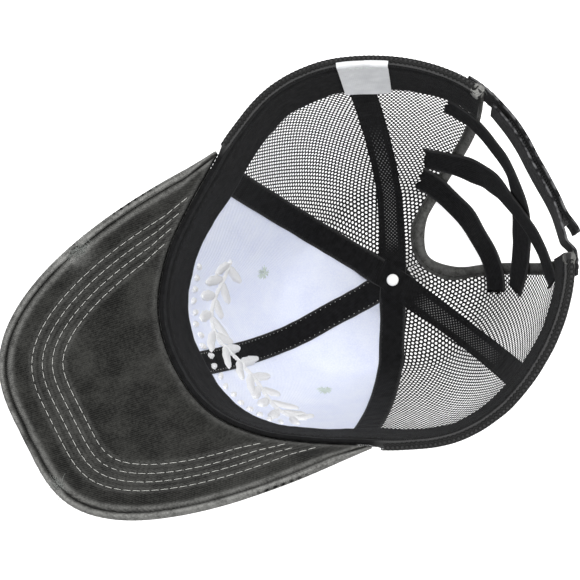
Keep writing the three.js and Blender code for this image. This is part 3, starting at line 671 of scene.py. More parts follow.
def net_mesh(name, u, v, clip, lift, sign):
    """Threads round six-sided holes with their middles at u, v in millimetres.

    clip(u, v) gives places inside the border and which ones it moved. lift(a, b) gives a place's
    point and its direction out of the cloth.
    """
    turns = np.radians(np.arange(12) * 30)
    corner = np.arange(12) % 2 == 1
    border_reach = np.where(corner, NET_PITCH / math.sqrt(3), NET_PITCH / 2)
    hole_reach = HOLE_RADIUS * np.where(corner, 1.05, 0.97)
    edge_u = u[:, None] + border_reach * np.cos(turns)
    edge_v = v[:, None] + border_reach * np.sin(turns)
    hole_u = (u[:, None] + hole_reach * np.cos(turns)).ravel()
    hole_v = (v[:, None] + hole_reach * np.sin(turns)).ravel()
    keys = np.stack([np.round(edge_u / NET_PITCH * 24), np.round(edge_v / NET_ROW * 24)], axis=-1)
    _, first, edge_index, shared = np.unique(keys.reshape(-1, 2), axis=0, return_index=True,
                                             return_inverse=True, return_counts=True)
    edge_index = edge_index.reshape(-1, 12)
    expected = np.where(np.tile(corner, len(u))[first], 3, 2)
    all_u = np.concatenate([edge_u.ravel()[first], hole_u])
    all_v = np.concatenate([edge_v.ravel()[first], hole_v])
    place_a, place_b, cut = clip(all_u, all_v)
    cut[: len(first)] |= shared < expected
    crest = np.zeros(len(all_u))
    crest[: len(first)] = np.where(cut[: len(first)], 0, THREAD_HALF)
    base, normal = lift(place_a, place_b)
    top = base + normal * crest[:, None]
    raised = np.flatnonzero(crest > 0)
    under = np.arange(len(all_u))
    under[raised] = len(all_u) + np.arange(len(raised))
    points = np.concatenate([top, base[raised] - normal[raised] * crest[raised][:, None]])
    hole_index = len(first) + np.arange(len(u) * 12).reshape(-1, 12)
    next_edge, next_hole = np.roll(edge_index, -1, axis=1), np.roll(hole_index, -1, axis=1)
    quads = np.stack([edge_index, next_edge, next_hole, hole_index], axis=-1).reshape(-1, 4)
    faces = np.concatenate([quads, under[quads[:, ::-1]]])
    a, b, c, d = (points[faces[:, k]] for k in range(4))
    area = np.linalg.norm(np.cross(c - a, d - b), axis=1)
    distinct = np.array([len(set(face)) == 4 for face in faces.tolist()])
    faces = faces[(area > 1e-3) & distinct]
    if sign < 0:
        faces = faces[:, ::-1]
    weave = np.stack([all_u, all_v], axis=-1)
    return add_object(name, points, faces, NET, np.concatenate([weave, weave[raised]]))


def net_panel(word, sign, name, seam_from, seam_to):
    start, end = math.radians(seam_from), math.radians(seam_to)
    middle = (start + end) / 2
    t_line = np.linspace(float(t_at_radius(middle, 3.0)), 1, 500)
    line = crown(np.full(500, middle), t_line)
    length = run(line)
    radius = np.hypot(line[:, 0], line[:, 1])
    columns = int(radius.max() * (end - start) / 2 / NET_PITCH) + 2
    u, v = hole_middles(np.arange(int(length[-1] / NET_ROW) + 2), np.arange(-columns, columns + 1))

    def lean(at_radius):
        return arch_turn(at_radius, sign) if seam_to == 180 else 0

    at_radius = np.interp(v, length, radius)
    phi = middle + u / at_radius
    reach = 0.58 * NET_PITCH / at_radius
    keep = (phi > start - reach) & (phi < end + lean(at_radius) + reach) & (v < length[-1] + 0.5 * NET_PITCH)
    if seam_to == 180:
        keep &= np.pi + lean(at_radius) - phi > arch_half_angle(at_radius, 3.0) - reach

    def clip(u, v):
        inside_v = np.clip(v, 0, length[-1])
        local = np.interp(inside_v, length, radius)
        turned = middle + u / local
        low, high = start + 0.1 / local, end - 0.1 / local + lean(local)
        cut = (turned < low) | (turned > high) | (v <= 0) | (v >= length[-1])
        return np.clip(turned, low, high), inside_v, cut

    def lift(turned, v):
        t = np.interp(v, length, t_line)
        normal = crown_frame(sign * turned, t)[2]
        return crown(sign * turned, t) + normal * 0.5, normal

    piece = net_mesh(f"net_{name}_{word}", u[keep], v[keep], clip, lift, sign)
    place(piece, "mesh", f"mesh_{name}_panel_{word}")


def rim_net():
    """The net's hem, which is folded over the top of the sweatband."""
    around = np.array([0.0, 2.4, 4.3, 5.4, 6.6, 7.8])
    drops = np.array([4.6, 2.3, 0.4, 0.0, 0.0, 0.6])
    offsets = np.array([1.95, 2.15, 1.95, 0.9, -0.9, -2.75])
    rises = np.array([0.0, 0.0, 0.5, 1.3, 1.35, 0.55])
    for word, sign in SIDES:
        phi_line = np.linspace(math.radians(BRIM_END + 3), math.pi - math.radians(ARCH_ANGLE) - 0.035, 400)
        line = crown(phi_line, np.ones(400))
        arc = run(line)
        u, v = hole_middles(np.arange(int(around[-1] / NET_ROW) + 1), np.arange(int(arc[-1] / NET_PITCH) + 1))

        def clip(u, v):
            cut = (u < 0) | (u > arc[-1]) | (v < 0) | (v > around[-1])
            return np.clip(u, 0, arc[-1]), np.clip(v, 0, around[-1]), cut

        def point(u, v):
            phi = sign * np.interp(u, arc, phi_line)
            sway = 0.25 * ripple(u, v, 91 + sign, 14)
            t = t_at_drop(phi, np.interp(v, around, drops) + 0.5 * sway)
            made = layer(phi, t, np.interp(v, around, offsets) + sway * 0.3)
            made[:, 2] += np.interp(v, around, rises)
            return made

        def lift(u, v):
            along = point(np.minimum(u + 0.3, arc[-1]), v) - point(np.maximum(u - 0.3, 0), v)
            over = point(u, np.minimum(v + 0.3, around[-1])) - point(u, np.maximum(v - 0.3, 0))
            return point(u, v), sign * unit(np.cross(along, over))

        place(net_mesh(f"rim_net_{word}", u, v, clip, lift, sign), "mesh")


# Cloth of the crown

def crown_sheet(name, limits, drops, level, thickness, material, seed, sign, pucker=0.12, wear_and_painted_light=None):
    """A sheet between two angles, from a place near the button to a drop below the rim."""
    start, end = limits
    middle = (start + end) / 2
    t_low = t_at_radius(middle, drops[0])
    t_high = t_at_drop(middle, drops[1])
    line = crown(np.full(60, middle), np.linspace(t_low, t_high, 60))
    height = float(np.linalg.norm(np.diff(line, axis=0), axis=1).sum())
    width = float(np.hypot(*line[-1, :2])) * (end - start)

    def lift(u, v):
        phi = lerp(start, end, u)
        t = lerp(t_at_radius(phi, drops[0]), t_at_drop(phi, drops[1]), v)
        near_seam = hump(np.minimum(u, 1 - u) * width, 0, 5)
        offset = level + pucker * ripple(v * height * 2.2, u * 4, seed, 9) * near_seam
        offset = offset + pucker * 0.6 * ripple(u * width, v * height, seed + 5, 40)
        return layer(sign * phi, t, offset), sign * crown_frame(sign * phi, t)[2], thickness / 2

    piece = sheet(name, (width, height), lift, material, wear_and_painted_light=wear_and_painted_light)
    if sign < 0:
        piece.data.flip_normals()
    return piece


def front_cloth():
    seam = math.radians(FRONT_SEAM)
    for word, sign in SIDES:
        def faded(u, v):
            near = np.minimum(np.minimum(u, 1 - u) * 90, (1 - v) * 130)
            return 0.6 * hump(near, 0, 1.6) + 0.15

        cloth = crown_sheet(f"front_cloth_{word}", (0.0, seam), (BUTTON_HOLE + 0.6, 0.1), 0.5, 0.95, COTTON,
                            3 + sign, sign, wear_and_painted_light=faded)
        place(cloth, "washed_cotton", f"front_panel_{word}")
        lining = crown_sheet(f"buckram_{word}", (0.03, seam - 0.03), (9.0, 27.0), -0.62, 0.42, BUCKRAM,
                             11 + sign, sign)
        place(lining, "backing", f"front_backing_{word}")


def topstitching():
    """Two rows of stitches beside each seam, outside, in thread of the seam's own colour."""
    pale, dark = [], []
    for _, sign in SIDES:
        for seam, rows in ((FRONT_SEAM, pale), (REAR_SEAM, dark), (0.0, pale)):
            t = np.linspace(0.16, 0.985, 220)
            for side in (-1, 1):
                if seam == 0.0 and side < 0:
                    continue
                base = math.radians(seam)
                radius = np.hypot(*np.moveaxis(crown(np.full(220, base), t)[:, :2], -1, 0))
                phi = sign * (base + side * 2.4 / radius)
                keep = np.abs(phi) > 1.2 / radius
                rows.append(crown_line(phi[keep], t[keep], 1.02, inside=False))
    sew("seam_stitches_front", pale, 2.6, 0.9, 0.2, GREY_THREAD)
    sew("seam_stitches_rear", dark, 2.4, 1.0, 0.2, DARK_THREAD)


# Seam tapes: each ends just past the button, and they lie over one another there.

TAPES = {
    "seam_tape_front": (0.0, 0, 0.0),
    "seam_tape_front_right": (FRONT_SEAM, 1, 0.28),
    "seam_tape_rear_left": (-REAR_SEAM, 2, 0.56),
    "seam_tape_front_left": (-FRONT_SEAM, 3, 0.84),
    "seam_tape_rear_right": (REAR_SEAM, 4, 1.12),
}


def tape_places(base, start, drop):
    """Distances from the button along a tape, up to a drop below the rim."""
    t = np.linspace(float(t_at_radius(base, 30.0)), float(t_at_drop(base, drop)), 90)
    radius = rim_radius(base) * np.sin(t * profile(base)[0]) / np.sin(profile(base)[0])
    return np.concatenate([np.arange(start, 29.0, 1.0), radius])


def tape_level(along, rise):
    near = 1 - smoothstep(along, 14, 30)
    return lerp(-1.25, -1.0 - rise, near), near


def seam_tapes():
    outline_across, outline_through = band_outline(TAPE_WIDTH, TAPE_THICKNESS, 1.2)
    thin = outline_through * 0.38
    for name, (angle, order, rise) in TAPES.items():
        along = tape_places(math.radians(angle), -8.5, SWEATBAND_HEIGHT - 3)
        level, near = tape_level(along, rise)
        waver = ripple(along[:, None] * 1.2, np.zeros((1, 1)), order + 20, 15)
        across = outline_across[None, :] + 0.12 * waver
        through = lerp(outline_through[None, :], thin[None, :], near[:, None])
        wave = 0.13 * ripple(along[:, None], outline_across[None, :], order + 40, 12) * (1 - near[:, None])
        loops = tape_loops(angle, along, across, level[:, None] + through + wave)
        points, faces = tube(loops)
        plan = np.broadcast_arrays(along[:, None], outline_across[None, :] + TAPE_WIDTH / 2)
        weave = np.stack(plan, axis=-1)
        over_net = abs(angle) == REAR_SEAM
        if over_net:
            # On tapes over the net, the middle of the inner face gets painted glints of the net under it. The
            # other tapes get worn edges.
            net_glint_band = (outline_through < 0) & (np.abs(outline_across) < 3.4)
            share = smoothstep(along, 12, 22) * (1 - smoothstep(along, 60, 74))
            worn_and_painted_light = share[:, None] * net_glint_band[None, :]
        else:
            lifted = np.abs(outline_across) > TAPE_WIDTH / 2 - 0.5
            worn_and_painted_light = np.broadcast_to(np.where(lifted, 0.12, 0.0)[None, :], (len(along), len(outline_across)))
        cloth = NET_TAPE if over_net else TWILL
        place(add_object(name + "_cloth", points, faces, cloth, weave, worn_and_painted_light), "black_tape", name)


def tape_loops(angle, along, across, levels):
    base = math.radians(angle)
    s = np.broadcast_to(along[:, None], across.shape)
    x = s * math.cos(base) - across * math.sin(base)
    y = s * math.sin(base) + across * math.cos(base)
    near_phi, near_radius = np.arctan2(y, x), np.maximum(np.hypot(x, y), 0.05)
    far_phi = base + across / np.maximum(s, 12)
    far = smoothstep(s, 20, 40)
    turn = (near_phi - far_phi + np.pi) % (2 * np.pi) - np.pi
    phi = np.where(s > 20, far_phi + turn * (1 - far), near_phi)
    t = lerp(t_at_radius(phi, near_radius), t_at_radius(np.full(s.shape, base), np.maximum(s, 1)), far)
    return layer(phi, t, levels)


def tape_stitches():
    pale, dark = [], []
    for name, (angle, _, rise) in TAPES.items():
        along = tape_places(math.radians(angle), 9.0, SWEATBAND_HEIGHT)
        level, near = tape_level(along, rise)
        level = level - lerp(0.36, 0.15, near)
        for side in (-1, 1):
            across = np.full((len(along), 1), side * (TAPE_WIDTH / 2 - 1.4))
            line = tape_loops(angle, along, across, level[:, None])[:, 0]
            phi = np.arctan2(line[:, 1], line[:, 0])
            t = t_at_radius(phi, np.minimum(np.hypot(line[:, 0], line[:, 1]), rim_radius(phi) * 0.995))
            rows = pale if name == "seam_tape_front" else dark
            rows.append((line, -crown_frame(phi, t)[2]))
    sew("tape_stitches_front", pale, 0.5, 2.3, 0.15, PALE_THREAD)
    sew("tape_stitches_sides", dark, 0.9, 1.9, 0.14, DARK_THREAD)


# The sweatband folds over the rim of the net, and in front it stands up beside the brim.

def sweatband():
    limit = math.pi - math.radians(ARCH_ANGLE)
    phi = np.linspace(-limit, limit, 460)
    net = smoothstep(from_front(phi), math.radians(BRIM_END - 1), math.radians(BRIM_END + 5))
    top = lerp(4.3, 0.9, net)
    inner = [(30.0, -1.3, 0), (30.3, -1.95, 0), (29.8, -2.5, 0), (28.6, -2.65, 0)]
    inner += [(drop, -2.6, 0) for drop in (25, 21, 17, 13, 9, 6, 4.2, 3.4, 2.6, 1.6, 0.6)]
    inner += [(0.0, -2.6, 0.25), (0.0, -2.62, 0.55), (0.0, -2.3, 0.85), (0.0, -1.6, 1.0)]
    rows = [(np.full_like(phi, d), np.full_like(phi, o), r * top) for d, o, r in inner]
    fold = [((0.0, -0.9, 0.95), (0.0, 0.3, 1.0)), ((0.0, -0.5, 0.7), (0.0, 1.25, 0.7)),
            ((0.1, -0.4, 0.3), (0.6, 1.6, 0.0)), ((0.3, -0.4, 0.1), (2.3, 1.62, 0.0)),
            ((0.5, -0.5, 0.0), (2.8, 1.3, 0.0)), ((0.6, -0.7, 0.0), (2.3, 1.05, 0.0)),
            ((0.8, -0.9, 0.0), (0.7, 1.0, 0.0)), ((0.9, -1.0, 0.0), (0.5, -0.2, 0.2))]
    for front, side in fold:
        drop, offset, rise = (lerp(front[k], side[k], net) for k in range(3))
        rows.append((drop, offset, rise * top))
    for drop in (1.6, 9, 20, 28.5):
        rows.append((np.full_like(phi, drop), np.full_like(phi, -1.2), np.zeros_like(phi)))
    arc = run(crown(phi, np.ones(len(phi))))
    loops, plan, worn_and_painted_light = [], [], []
    for k, (drop, offset, rise) in enumerate(rows):
        free = smoothstep(drop, 4, 26)
        is_inner = k < len(inner)
        sway = 0.5 * ripple(arc, drop * 0.7, 31, 34) * free + 0.14 * ripple(arc, drop, 33, 8) * is_inner
        groove = 0.45 * hump(drop, 3.0, 0.7) * is_inner
        moved = offset + np.where(is_inner, sway * 0.6 + groove, sway * 0.3)
        edge = 0.35 * ripple(arc, 0 * arc, 35, 22) * smoothstep(drop, 26, 30)
        point = layer(phi, t_at_drop(phi, drop + edge), moved)
        point[:, 2] += rise
        loops.append(point)
        along_band = float(np.mean(drop)) + (0 if is_inner else 40)
        plan.append(np.stack([arc, np.full_like(arc, along_band)], axis=-1))
        outside = offset > -2.4
        # Where the net's hem lies over the band it is painted lighter: painted light showing through the
        # net's holes. The lighter top edge is wear.
        in_hem = outside * (drop < 5) * (k < len(inner) + len(fold))
        worn_and_painted_light.append(0.15 * hump(drop, SWEATBAND_HEIGHT, 0.5) + 0.2 * net * in_hem)
    points, faces = tube(np.stack(loops, axis=1))
    plan, worn_and_painted_light = np.stack(plan, axis=1), np.stack(worn_and_painted_light, axis=1)
    piece = add_object("sweatband_cloth", points, faces, TWILL, plan, worn_and_painted_light)
    place(piece, "black_tape", "sweatband")
    keep = np.abs(phi) < limit - 0.03
    rows = [crown_line(phi[keep], t_at_drop(phi[keep], 6.2), -2.72, inside=True)]
    sew("sweatband_stitches", rows, 2.0, 1.0, 0.15, DARK_THREAD)
    outside = [crown_line(side * a, t_at_drop(side * a, 1.9), 1.66, inside=False)
               for side in (-1, 1) for a in [np.linspace(math.radians(BRIM_END + 6), limit - 0.02, 200)]]
    sew("rim_stitches", outside, 2.4, 1.1, 0.18, DARK_THREAD)


# Binding of the ponytail opening

def arch_place(margin, count_round=40, count_leg=90):
    """Angles and t along the opening's edge from the left rim round to the right, at a margin from it."""
    left = [line[::-1] for line in arch_half(margin, -1, count_round, count_leg)]
    right = [line[1:] for line in arch_half(margin, 1, count_round, count_leg)]
    phi, t, drop = (np.concatenate(pair) for pair in zip(left, right))
    return phi, t, drop


def arch_half(margin, sign, count_round, count_leg):
    turns = np.linspace(0, math.pi / 2, count_round)
    rounded = ARCH_ROUND - margin - (ARCH_ROUND - ARCH_TOP) * np.cos(turns)
    side = math.pi - math.radians(ARCH_ANGLE)
    t_leg = np.linspace(float(t_at_radius(side, ARCH_ROUND + 1.2)), 1, count_leg)
    leg = rim_radius(side) * np.sin(t_leg * profile(side)[0]) / np.sin(profile(side)[0])
    radius = np.concatenate([rounded, leg])
    phi = math.pi + arch_turn(radius, sign) - arch_half_angle(radius, margin)
    by_row = np.concatenate([np.zeros(count_round), smoothstep(leg, 42, 60)])
    rows = np.concatenate([np.zeros(count_round), t_leg])
    t = lerp(t_at_radius(phi, radius), rows, by_row)
    drop = (rim_height(phi) - APEX_LEVEL) * (1 - height_share(phi, t))
    return sign * phi, t, drop


def arch_binding():
    across, through = band_outline(BINDING_WIDTH, BINDING_THICKNESS, 0.9)
    margins = np.clip(across + BINDING_WIDTH / 2, 0, BINDING_WIDTH)
    loops, plan, worn_and_painted_light = [], [], []
    for margin, high in zip(margins, through):
        phi, t, drop = arch_place(float(margin))
        arc = run(crown(phi, t))
        beside_band = 1 - smoothstep(drop, BAND_TOP - 2, BAND_TOP + 2)
        inner = lerp(-0.9, 0.0, beside_band)
        at_end = 1 - smoothstep(drop, 4.0, 7.5)
        offset = lerp(inner - 2.9 * at_end, 1.9 + 0.7 * at_end, (high / 1.3 + 1) / 2)
        dip = 0.35 * hump(margin, BINDING_SEAM, 0.7) * np.sign(high)
        offset = offset - dip + 0.14 * ripple(arc, np.full_like(arc, margin * 1.3 + high), 51, 7)
        point = layer(phi, t, offset)
        point[:, 2] = np.maximum(point[:, 2], 0.05)
        at_rim = 1 - smoothstep(drop, 0, 3.0)
        point[:, 2] += 1.1 * at_rim * (1 - (high / 1.3) ** 2 * 0.4)
        loops.append(point)
        plan.append(np.stack([arc, np.full_like(arc, margin + high)], axis=-1))
        fold = 0.3 * hump(margin, 1.5, 1.6) + 0.2 * hump(margin, BINDING_WIDTH, 0.6)
        deep = smoothstep(drop, 60, 95)
        worn_and_painted_light.append(np.clip(0.12 + 0.1 * deep + fold + 0.85 * (1 - smoothstep(drop, 3.0, 7.5)), 0, 1))
    points, faces = tube(np.stack(loops, axis=1))
    plan, worn_and_painted_light = np.stack(plan, axis=1), np.stack(worn_and_painted_light, axis=1)
    piece = add_object("arch_binding_cloth", points, faces, COTTON, plan, worn_and_painted_light)
    place(piece, "washed_cotton", "arch_binding")
    phi, t, drop = arch_place(BINDING_SEAM)
    keep = drop > 4
    lines = [crown_line(phi[keep], t[keep], level, level < 0) for level in (-0.72, 1.72)]
    lines = [(np.concatenate([p[:, :2], np.maximum(p[:, 2:], 0.1)], axis=1), n) for p, n in lines]
    sew("binding_stitches", lines, 2.3, 1.0, 0.16, DARK_THREAD)


# Straps and elastic bands

def strap_path(start, end, count):
    angle = np.radians(np.linspace(start, end, count))
    phi = math.pi + angle
    return angle, phi, t_at_drop(phi, np.full(count, STRAP_DROP + STRAP_WIDTH / 2))


def straps():
    def worn_edges(along, across):
        return np.clip((np.abs(across) - STRAP_WIDTH / 2 + 0.8) / 0.8, 0, 1) * 0.7 + 0 * along

    angle, phi, t = strap_path(-21, 32, 90)
    free_end = 1 - smoothstep(np.degrees(angle), -21, -11)
    level = 3.1 + 3.0 * free_end ** 2
    outer = band("strap_outer_tape", phi, t, STRAP_WIDTH, level, 1.4, NAP, wear_and_painted_light=worn_edges,
                 flutter=0.12, seed=61)
    place(outer, "strap", "strap_outer")
    angle, phi, t = strap_path(-32, 22, 90)
    inwards = smoothstep(np.degrees(angle), -26, -22)
    level = lerp(3.1, -0.1, inwards)
    inner = band("strap_inner_tape", phi, t, STRAP_WIDTH, level, 1.4, NAP, wear_and_painted_light=worn_edges,
                 flutter=0.12, seed=63)
    place(inner, "strap", "strap_inner")
    angle, phi, t = strap_path(HOOK_SPAN[0], HOOK_SPAN[1], 60)
    free_end = 1 - smoothstep(np.degrees(angle), -21, -11)
    hooks = band("hook_tape_strip", phi, t, STRAP_WIDTH - 3, 1.5 + 3.0 * free_end ** 2, 0.9, HOOKS)
    place(hooks, "hook", "hook_tape")
    lines = []
    for start, end, level, inside in ((23, 31, 3.95, False), (-31, -27, 3.95, False), (23.5, 31, 2.2, True)):
        for down in (2.2, 16.8):
            angles = math.pi + np.radians(np.linspace(start, end, 30))
            t = t_at_drop(angles, np.full(30, down + STRAP_DROP - 0.5))
            lines.append(crown_line(angles, t, level, inside))
        for edge in (start, end):
            angles = np.full(30, math.pi + math.radians(edge))
            drops = np.linspace(2.0, 16.8, 30) + STRAP_DROP - 0.5
            lines.append(crown_line(angles, t_at_drop(angles, drops), level, inside))
    sew("strap_stitches", lines, 2.2, 0.9, 0.15, DARK_THREAD)


def elastics():
    for number, (name, (left, right, drops, passes)) in enumerate(ELASTICS.items()):
        s = np.linspace(0, 1, 130)
        phi = math.pi + np.radians(lerp(left, right, s))
        t = t_at_drop(phi, stepped(drops, s) * CROWN_DEPTH)
        arc = run(crown(phi, t))
        over = 0 if passes is None else 1 - smoothstep(np.abs(s - passes), 0.24, 0.36)
        to_end = np.minimum(arc, arc[-1] - arc)
        level = -ELASTIC_LEVEL - ELASTIC_PASS * over + 0.55 * (1 - smoothstep(to_end, 0.5, 7))

        def cut(across, number=number):
            zigzag = np.abs((across * 0.32 + 0.3 * number) % 2 - 1)
            return 2.2 * zigzag - 1.1 + 0.12 * across + 0.35 * np.sin(across * 5.1 + 2 * number)

        def worn_and_painted_light(along, across):
            return 0.5 * (np.abs(across) > ELASTIC_WIDTH / 2 - 0.7) + 0 * along

        piece = band(name + "_braid", phi, t, ELASTIC_WIDTH, level, 0.9, ELASTIC, end_shift=cut, wear_and_painted_light=worn_and_painted_light,
                     flutter=0.12, seed=70 + number)
        place(piece, "elastic", name)


# The brim

def brim_plan(across, reach):
    phi = across * BRIM_TURN
    turn = across * math.pi / 2
    edge_x = END_X + (FRONT_RADIUS + BRIM_REACH - END_X) * np.cos(turn).clip(0) ** BRIM_REACH_POWER
    narrowed = BRIM_HALF * (1 - BRIM_TAPER * np.cos(turn))
    edge_y = np.sign(turn) * narrowed * np.abs(np.sin(turn)) ** BRIM_WIDTH_POWER
    radius = rim_radius(phi) + BRIM_ROOT
    root_x, root_y = radius * np.cos(phi), radius * np.sin(phi)
    out = reach * np.hypot(edge_x - root_x, edge_y - root_y)
    return lerp(root_x, edge_x, reach), lerp(root_y, edge_y, reach), out


def brim_surface(x, y, out, offset):
    """A point over the brim's base, and the direction out of its face. Near its root it stands upright."""
    slope_x = math.tan(math.radians(BRIM_SLOPE))
    slope_y = 2 * BRIM_ARCH * y / BRIM_HALF ** 2
    normal = unit(np.stack([np.full_like(x, -slope_x), -slope_y, np.ones_like(x)], axis=-1))
    upright = np.zeros_like(normal)
    upright[..., 2] = 1 / normal[..., 2]
    direction = lerp(upright, normal, np.minimum(1, out / BRIM_UPRIGHT)[..., None])
    base = np.stack([x, y, FRONT_HEIGHT + 0.4 + brim_rise(x, y)], axis=-1)
    return base + direction * np.asarray(offset)[..., None], normal


EDGE_ACROSS = np.sin(np.linspace(-1, 1, 900) * math.pi / 2)
EDGE_X, EDGE_Y, _ = brim_plan(EDGE_ACROSS, np.ones(900))
EDGE_LINE = np.stack([EDGE_X, EDGE_Y, brim_rise(EDGE_X, EDGE_Y)], axis=-1)
TEARS = ((111.0, -67.0, 6.5), (168.5, 27.0, 4.0))


def from_edge(x, y):
    """The distance over the brim's face to its outer edge."""
    points = np.stack([x, y, brim_rise(x, y)], axis=-1).reshape(-1, 3)
    nearest = np.empty(len(points))
    for start in range(0, len(points), 2000):
        chunk = points[start:start + 2000]
        apart = ((chunk[:, None, :] - EDGE_LINE[None]) ** 2).sum(-1)
        nearest[start:start + 2000] = np.sqrt(apart).min(axis=1)
    return nearest.reshape(np.shape(x))


def tear_at(x, y, wider=1.0):
    return sum(np.exp(-((x - tx) ** 2 + (y - ty) ** 2) / (size * wider) ** 2) for tx, ty, size in TEARS)


def rip(x, y):
    """From 0 on whole cloth to 1 where it is torn open, with a jagged edge."""
    return smoothstep(tear_at(x, y, 0.6) + 0.25 * ripple(x, y, 85, 1.7), 0.5, 0.75)


def brim():
    across = np.sin(np.linspace(-1, 1, 201) * math.pi / 2 * 0.999)

    # Under cover, from the crown to the groove inside the lip
    reach = np.linspace(0, 1, 78)
    grid_a, grid_r = np.meshgrid(across, reach, indexing="ij")
    x, y, out = brim_plan(grid_a, grid_r)
    distance = from_edge(x, y)
    groove = LIP_WIDTH + 0.1
    limit = np.array([np.interp(-groove, -distance[i], reach) if distance[i].max() > groove else 0.02
                      for i in range(len(across))])
    grid_r = reach[None, :] * limit[:, None]
    x, y, out = brim_plan(grid_a, grid_r)
    distance = from_edge(x, y)
    near_row = np.min([np.abs(distance - row) for row in STITCH_ROWS], axis=0)
    between = (distance > STITCH_ROWS[0] - 4) & (distance < STITCH_ROWS[-1] + 4)
    channel = 0.42 * hump(near_row, 0, 0.75)
    puff = 0.16 * np.cos(2 * math.pi * (distance - STITCH_ROWS[0]) / 4.75) * between
    to_groove = np.clip((distance - groove) / 1.3, 0, 1)
    roll = quarter_round(to_groove)
    top = 2.7 + 1.25 * roll - channel * (roll > 0.5) - puff * 0.4
    top = top + 0.12 * ripple(x, y, 81, 26) + 0.05 * ripple(x, y, 82, 7)
    top = top - 0.9 * rip(x, y) * (distance < 7)
    root = np.clip(out / 1.6, 0, 1)
    top = 2.7 + (top - 2.7) * quarter_round(root)
    upper, _ = brim_surface(x, y, out, top)
    lower, _ = brim_surface(x, y, out, np.full_like(x, 2.2))
    fade = 0.55 * hump(distance - groove, 1.4, 1.3) + 0.16 * hump(near_row, 1.1, 0.7) * between
    fade = fade + 1.3 * tear_at(x, y, 0.9) * (1 - rip(x, y)) + 0.25 * hump(out, 0, 2.2)
    under_cloth = closed_pair("brim_under_cloth", upper, lower, COTTON, np.stack([x, y], axis=-1), fade)
    place(under_cloth, "washed_cotton", "brim_under_cover")

    # Body: the cloth on the outside of the board, rolled over its edge into the lip
    steps = np.concatenate([np.linspace(0, 0.9, 60), 1 - np.geomspace(0.1, 0.0008, 26), [1.0]])
    grid_a, grid_r = np.meshgrid(across, steps, indexing="ij")
    x, y, out = brim_plan(grid_a, grid_r)
    distance = from_edge(x, y)
    near_row = np.min([np.abs(distance - row) for row in STITCH_ROWS], axis=0)
    edge = np.clip(distance / 1.5, 0, 1)
    full = quarter_round(edge)
    in_lip = 1 - smoothstep(distance, LIP_WIDTH - 0.95, LIP_WIDTH - 0.35)
    high = lerp(2.15, 3.95, in_lip) - 1.7 * rip(x, y)
    low = 0.3 * hump(near_row, 0, 0.75) + 0.08 * ripple(x, y, 83, 22)
    middle = 1.95
    upper, _ = brim_surface(x, y, out, middle + (high - middle) * full)
    lower, _ = brim_surface(x, y, out, middle + (low - middle) * full)
    fade = 0.9 * hump(distance, 0.7, 1.0) + 1.4 * tear_at(x, y, 0.9) * (1 - rip(x, y))
    fade = fade + 0.16 * hump(near_row, 1.1, 0.7)
    body = closed_pair("brim_cloth", upper, lower, COTTON, np.stack([x, y], axis=-1), fade)
    place(body, "washed_cotton", "brim")

    # Rows of stitches on both faces
    inner_lines, outer_lines = [], []
    fine = np.linspace(-0.985, 0.985, 700)
    reach = np.linspace(0, 1, 120)
    grid_a, grid_r = np.meshgrid(fine, reach, indexing="ij")
    x, y, out = brim_plan(grid_a, grid_r)
    distance = from_edge(x, y)
    for row in STITCH_ROWS:
        has_row = distance[:, 0] > row + 0.6
        found = np.array([np.interp(-row, -distance[i], reach) for i in np.flatnonzero(has_row)])
        px, py, p_out = brim_plan(fine[has_row], found)
        points, normal = brim_surface(px, py, p_out, np.full_like(px, 3.62))
        inner_lines.append((points, normal))
        points, normal = brim_surface(px, py, p_out, np.full_like(px, 0.24))
        outer_lines.append((points, -normal))
    sew("brim_stitches_under", inner_lines, 3.7, 0.55, 0.15, PALE_THREAD)
    sew("brim_stitches_top", outer_lines, 3.7, 0.55, 0.15, PALE_THREAD)


def closed_pair(name, upper, lower, material, weave, wear_and_painted_light):
    """A closed skin over an upper and a lower grid of points."""
    rows, columns = upper.shape[:2]
    top = np.arange(rows * columns).reshape(rows, columns)
    under = top + rows * columns
    walls = []
    for line, below, flip in ((top[0], under[0], False), (top[-1], under[-1], True),
                              (top[:, 0], under[:, 0], True), (top[:, -1], under[:, -1], False)):
        wall = [line[:-1], line[1:], below[1:], below[:-1]]
        walls.append(np.stack(wall[::-1] if flip else wall, axis=-1))
    faces = np.concatenate([grid_quads(top), grid_quads(under, True)] + walls)
    points = np.concatenate([upper.reshape(-1, 3), lower.reshape(-1, 3)])
    plan = np.concatenate([weave.reshape(-1, 2)] * 2)
    worn_and_painted_light = np.concatenate([np.clip(wear_and_painted_light, 0, 1).ravel()] * 2)
    return add_object(name, points, faces, material, plan, worn_and_painted_light)


# Embroidered ornament: a leafy branch on the front, sewn through to the backing

